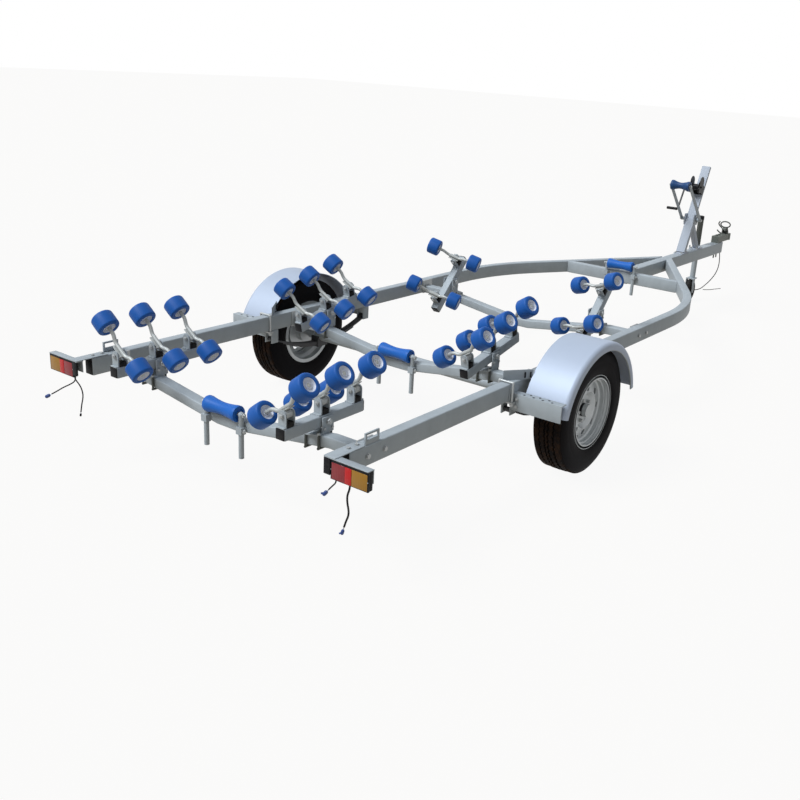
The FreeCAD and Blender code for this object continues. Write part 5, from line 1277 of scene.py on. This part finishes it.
def lead_plug(name, last, heading, radius, length, material, replaced, branched):
    """Moulded plug on two thin wires that come out of the end of a lead."""
    shape = Piece()
    wire = length * (0.3 if replaced else 0.6)
    reach = length - wire if replaced else length
    side = heading.orthogonal().normalized()
    body = last + heading * wire
    for sign in (-1, 1):
        offset = side * sign * 1.3 * MM
        shape.rod(last - heading * 2 * MM + offset, body + heading * 2 * MM + offset, 1.1 * MM, 8, material=1)
    shape.turned([(reach * along, radius * out) for along, out in PLUG_PROFILE], body, heading, steps=28)
    if branched:
        middle = body + heading * reach * 0.62
        shape.rod(middle, middle + (side + heading * 0.8).normalized() * radius * 1.9, radius * 0.5, 14,
                  soft=0.6 * MM)
    return shape.finish(name, "chassis", "plug_black", [material, "hub"], replaced)


def line_length(curve):
    """Length of a curve that has no thickness yet."""
    bare = bpy.data.objects.new("measured_line", curve)
    line = bpy.data.meshes.new_from_object(bare)
    places = [vert.co for vert in line.vertices]
    total = sum((second - first).length for first, second in zip(places, places[1:]))
    bpy.data.objects.remove(bare)
    bpy.data.meshes.remove(line)
    return total


class TRAILER_OT_leads(bpy.types.Operator):
    """Lay the lamp leads and the front cable with their plugs"""
    bl_idname = "trailer.leads"
    bl_label = "Leads"

    def execute(self, context):
        for name, (start, radius, far_end, route) in LEADS.items():
            points = [Vector(start) + Vector(point) * MM for point in route]
            curve = bpy.data.curves.new(name, "CURVE")
            lay_route(curve, points)
            curve.splines[0].resolution_u = 12
            length = line_length(curve)
            curve.bevel_depth = radius
            curve.bevel_resolution = 4
            curve.use_fill_caps = True
            curve.materials.append(MATERIALS["lead"])
            lead = bpy.data.objects.new(f"{name}_sheath", curve)
            context.scene.collection.objects.link(lead)
            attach(lead, "chassis")
            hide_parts(name)
            if name in PLUGS:
                heading = (points[-1] - points[-2]).normalized()
                lead_plug(f"{name}_plug", points[-1], heading, *PLUGS[name])
        return {"FINISHED"}


CAMERA_PLACE = Vector((2.94827, -5.59448, 1.92646))
CAMERA_YAW, CAMERA_PITCH, CAMERA_ROLL = 0.613044, 0.332312, 0.0624267
CAMERA_LENS, CAMERA_SENSOR = 42.0, 36.0
CAMERA_SHIFT = (-0.047, -0.0165)
FLOOR_SIZE = 60
FLOOR_COLOUR, FLOOR_LIFT = (0.42, 0.36, 0.28), 0.93
SKY_COLOUR, SKY_STRENGTH = (0.78, 0.89, 1.0), 0.34
WHITE = (1.0, 1.0, 1.0)
# Each lamp: name, energy, colour, turn, and the angle that it spreads over.
LAMPS = (("sun", 3.3, (0.90, 0.96, 1.0), (0.56, -0.42, 0.0), 0.45),
         ("fill", 0.10, (1.0, 0.95, 0.86), (1.05, 0.0, 0.75), 0.8))


def seen_directly(recipe):
    """One for rays from the camera, from gloss and through glass, and zero for the others."""
    path = recipe.add("ShaderNodeLightPath").outputs
    seen = recipe.maths("ADD", path["Is Camera Ray"], path["Is Glossy Ray"])
    return recipe.maths("MINIMUM", recipe.maths("ADD", seen, path["Is Transmission Ray"]), 1.0)


def floor_material():
    """Pale floor that looks white to the camera and in reflections, and keeps shadows."""
    material = bpy.data.materials.new("Pale floor")
    material.use_nodes = True
    tree = material.node_tree
    recipe = Recipe(tree)
    tree.nodes.remove(tree.nodes["Principled BSDF"])
    diffuse = recipe.add("ShaderNodeBsdfDiffuse", Color=FLOOR_COLOUR)
    glow = recipe.add("ShaderNodeEmission", Color=WHITE, Strength=1.0)
    share = recipe.maths("MULTIPLY", seen_directly(recipe), FLOOR_LIFT)
    mixed = recipe.add("ShaderNodeMixShader", Fac=share, at_1=diffuse.outputs[0], at_2=glow.outputs[0])
    recipe.give(tree.nodes["Material Output"].inputs["Surface"], mixed.outputs[0])
    return material


class TRAILER_OT_stage(bpy.types.Operator):
    """Set up the floor, the lights and the camera"""
    bl_idname = "trailer.stage"
    bl_label = "Stage"

    def execute(self, context):
        scene = context.scene
        scene.view_settings.view_transform = "Standard"
        grid = bmesh.new()
        bmesh.ops.create_grid(grid, x_segments=2, y_segments=2, size=FLOOR_SIZE)
        mesh = bpy.data.meshes.new("floor")
        grid.to_mesh(mesh)
        grid.free()
        mesh.materials.append(floor_material())
        floor = bpy.data.objects.new("floor", mesh)
        scene.collection.objects.link(floor)
        self.light(scene)
        self.place_camera(scene)
        return {"FINISHED"}

    def light(self, scene):
        """A pale sky that is white where it is seen, a soft sun and a weak fill."""
        scene.world = bpy.data.worlds.new("Studio")
        scene.world.use_nodes = True
        tree = scene.world.node_tree
        recipe = Recipe(tree)
        sky = tree.nodes["Background"]
        recipe.give(sky.inputs["Color"], SKY_COLOUR)
        recipe.give(sky.inputs["Strength"], SKY_STRENGTH)
        white = recipe.add("ShaderNodeBackground", Color=WHITE, Strength=1.0)
        mixed = recipe.add("ShaderNodeMixShader", Fac=seen_directly(recipe), at_1=sky.outputs[0],
                           at_2=white.outputs[0])
        recipe.give(tree.nodes["World Output"].inputs["Surface"], mixed.outputs[0])
        for name, energy, colour, turn, spread in LAMPS:
            light = bpy.data.lights.new(name, "SUN")
            light.energy = energy
            light.color = colour
            light.angle = spread
            holder = bpy.data.objects.new(name, light)
            holder.rotation_euler = turn
            scene.collection.objects.link(holder)

    def place_camera(self, scene):
        """The camera from its place, yaw, pitch and roll."""
        forward = Vector((-math.sin(CAMERA_YAW) * math.cos(CAMERA_PITCH),
                          math.cos(CAMERA_YAW) * math.cos(CAMERA_PITCH), -math.sin(CAMERA_PITCH)))
        right = Vector((math.cos(CAMERA_YAW), math.sin(CAMERA_YAW), 0))
        up = right.cross(forward)
        side = right * math.cos(CAMERA_ROLL) + up * math.sin(CAMERA_ROLL)
        top = up * math.cos(CAMERA_ROLL) - right * math.sin(CAMERA_ROLL)
        data = bpy.data.cameras.new("camera")
        data.lens, data.sensor_width = CAMERA_LENS, CAMERA_SENSOR
        data.shift_x, data.shift_y = CAMERA_SHIFT
        data.clip_end = 200
        camera = bpy.data.objects.new("camera", data)
        camera.matrix_world = frame_at(CAMERA_PLACE, side, top, -forward)
        scene.collection.objects.link(camera)
        scene.camera = camera


STEPS = (TRAILER_OT_materials, TRAILER_OT_stage, TRAILER_OT_leads, TRAILER_OT_tubes, TRAILER_OT_tyres,
         TRAILER_OT_rims, TRAILER_OT_mudguards, TRAILER_OT_lamps, TRAILER_OT_rollers, TRAILER_OT_pedestals,
         TRAILER_OT_keel_rollers, TRAILER_OT_winch, TRAILER_OT_coupling, TRAILER_OT_jockey)


class TRAILER_PT_panel(bpy.types.Panel):
    """Lists the pieces of the trailer that can be built"""
    bl_idname = "TRAILER_PT_panel"
    bl_label = "Roller trailer"
    bl_space_type = "VIEW_3D"
    bl_region_type = "UI"
    bl_category = "Trailer"

    def draw(self, context):
        for group in (context.scene.trailer_sizes, context.scene.trailer_colours):
            for name in group.__annotations__:
                self.layout.prop(group, name)
        for step in STEPS:
            self.layout.operator(step.bl_idname)


CLASSES = (TrailerSizes, TrailerColours, *STEPS, TRAILER_PT_panel)


def register():
    for item in CLASSES:
        bpy.utils.register_class(item)
    bpy.types.Scene.trailer_sizes = bpy.props.PointerProperty(type=TrailerSizes)
    bpy.types.Scene.trailer_colours = bpy.props.PointerProperty(type=TrailerColours)


def unregister():
    del bpy.types.Scene.trailer_colours
    del bpy.types.Scene.trailer_sizes
    for item in reversed(CLASSES):
        bpy.utils.unregister_class(item)


def main():
    register()
    for step in STEPS:
        getattr(bpy.ops.trailer, step.bl_idname.split(".")[1])()
    bpy.context.view_layer.update()


if __name__ == "__main__":
    main()
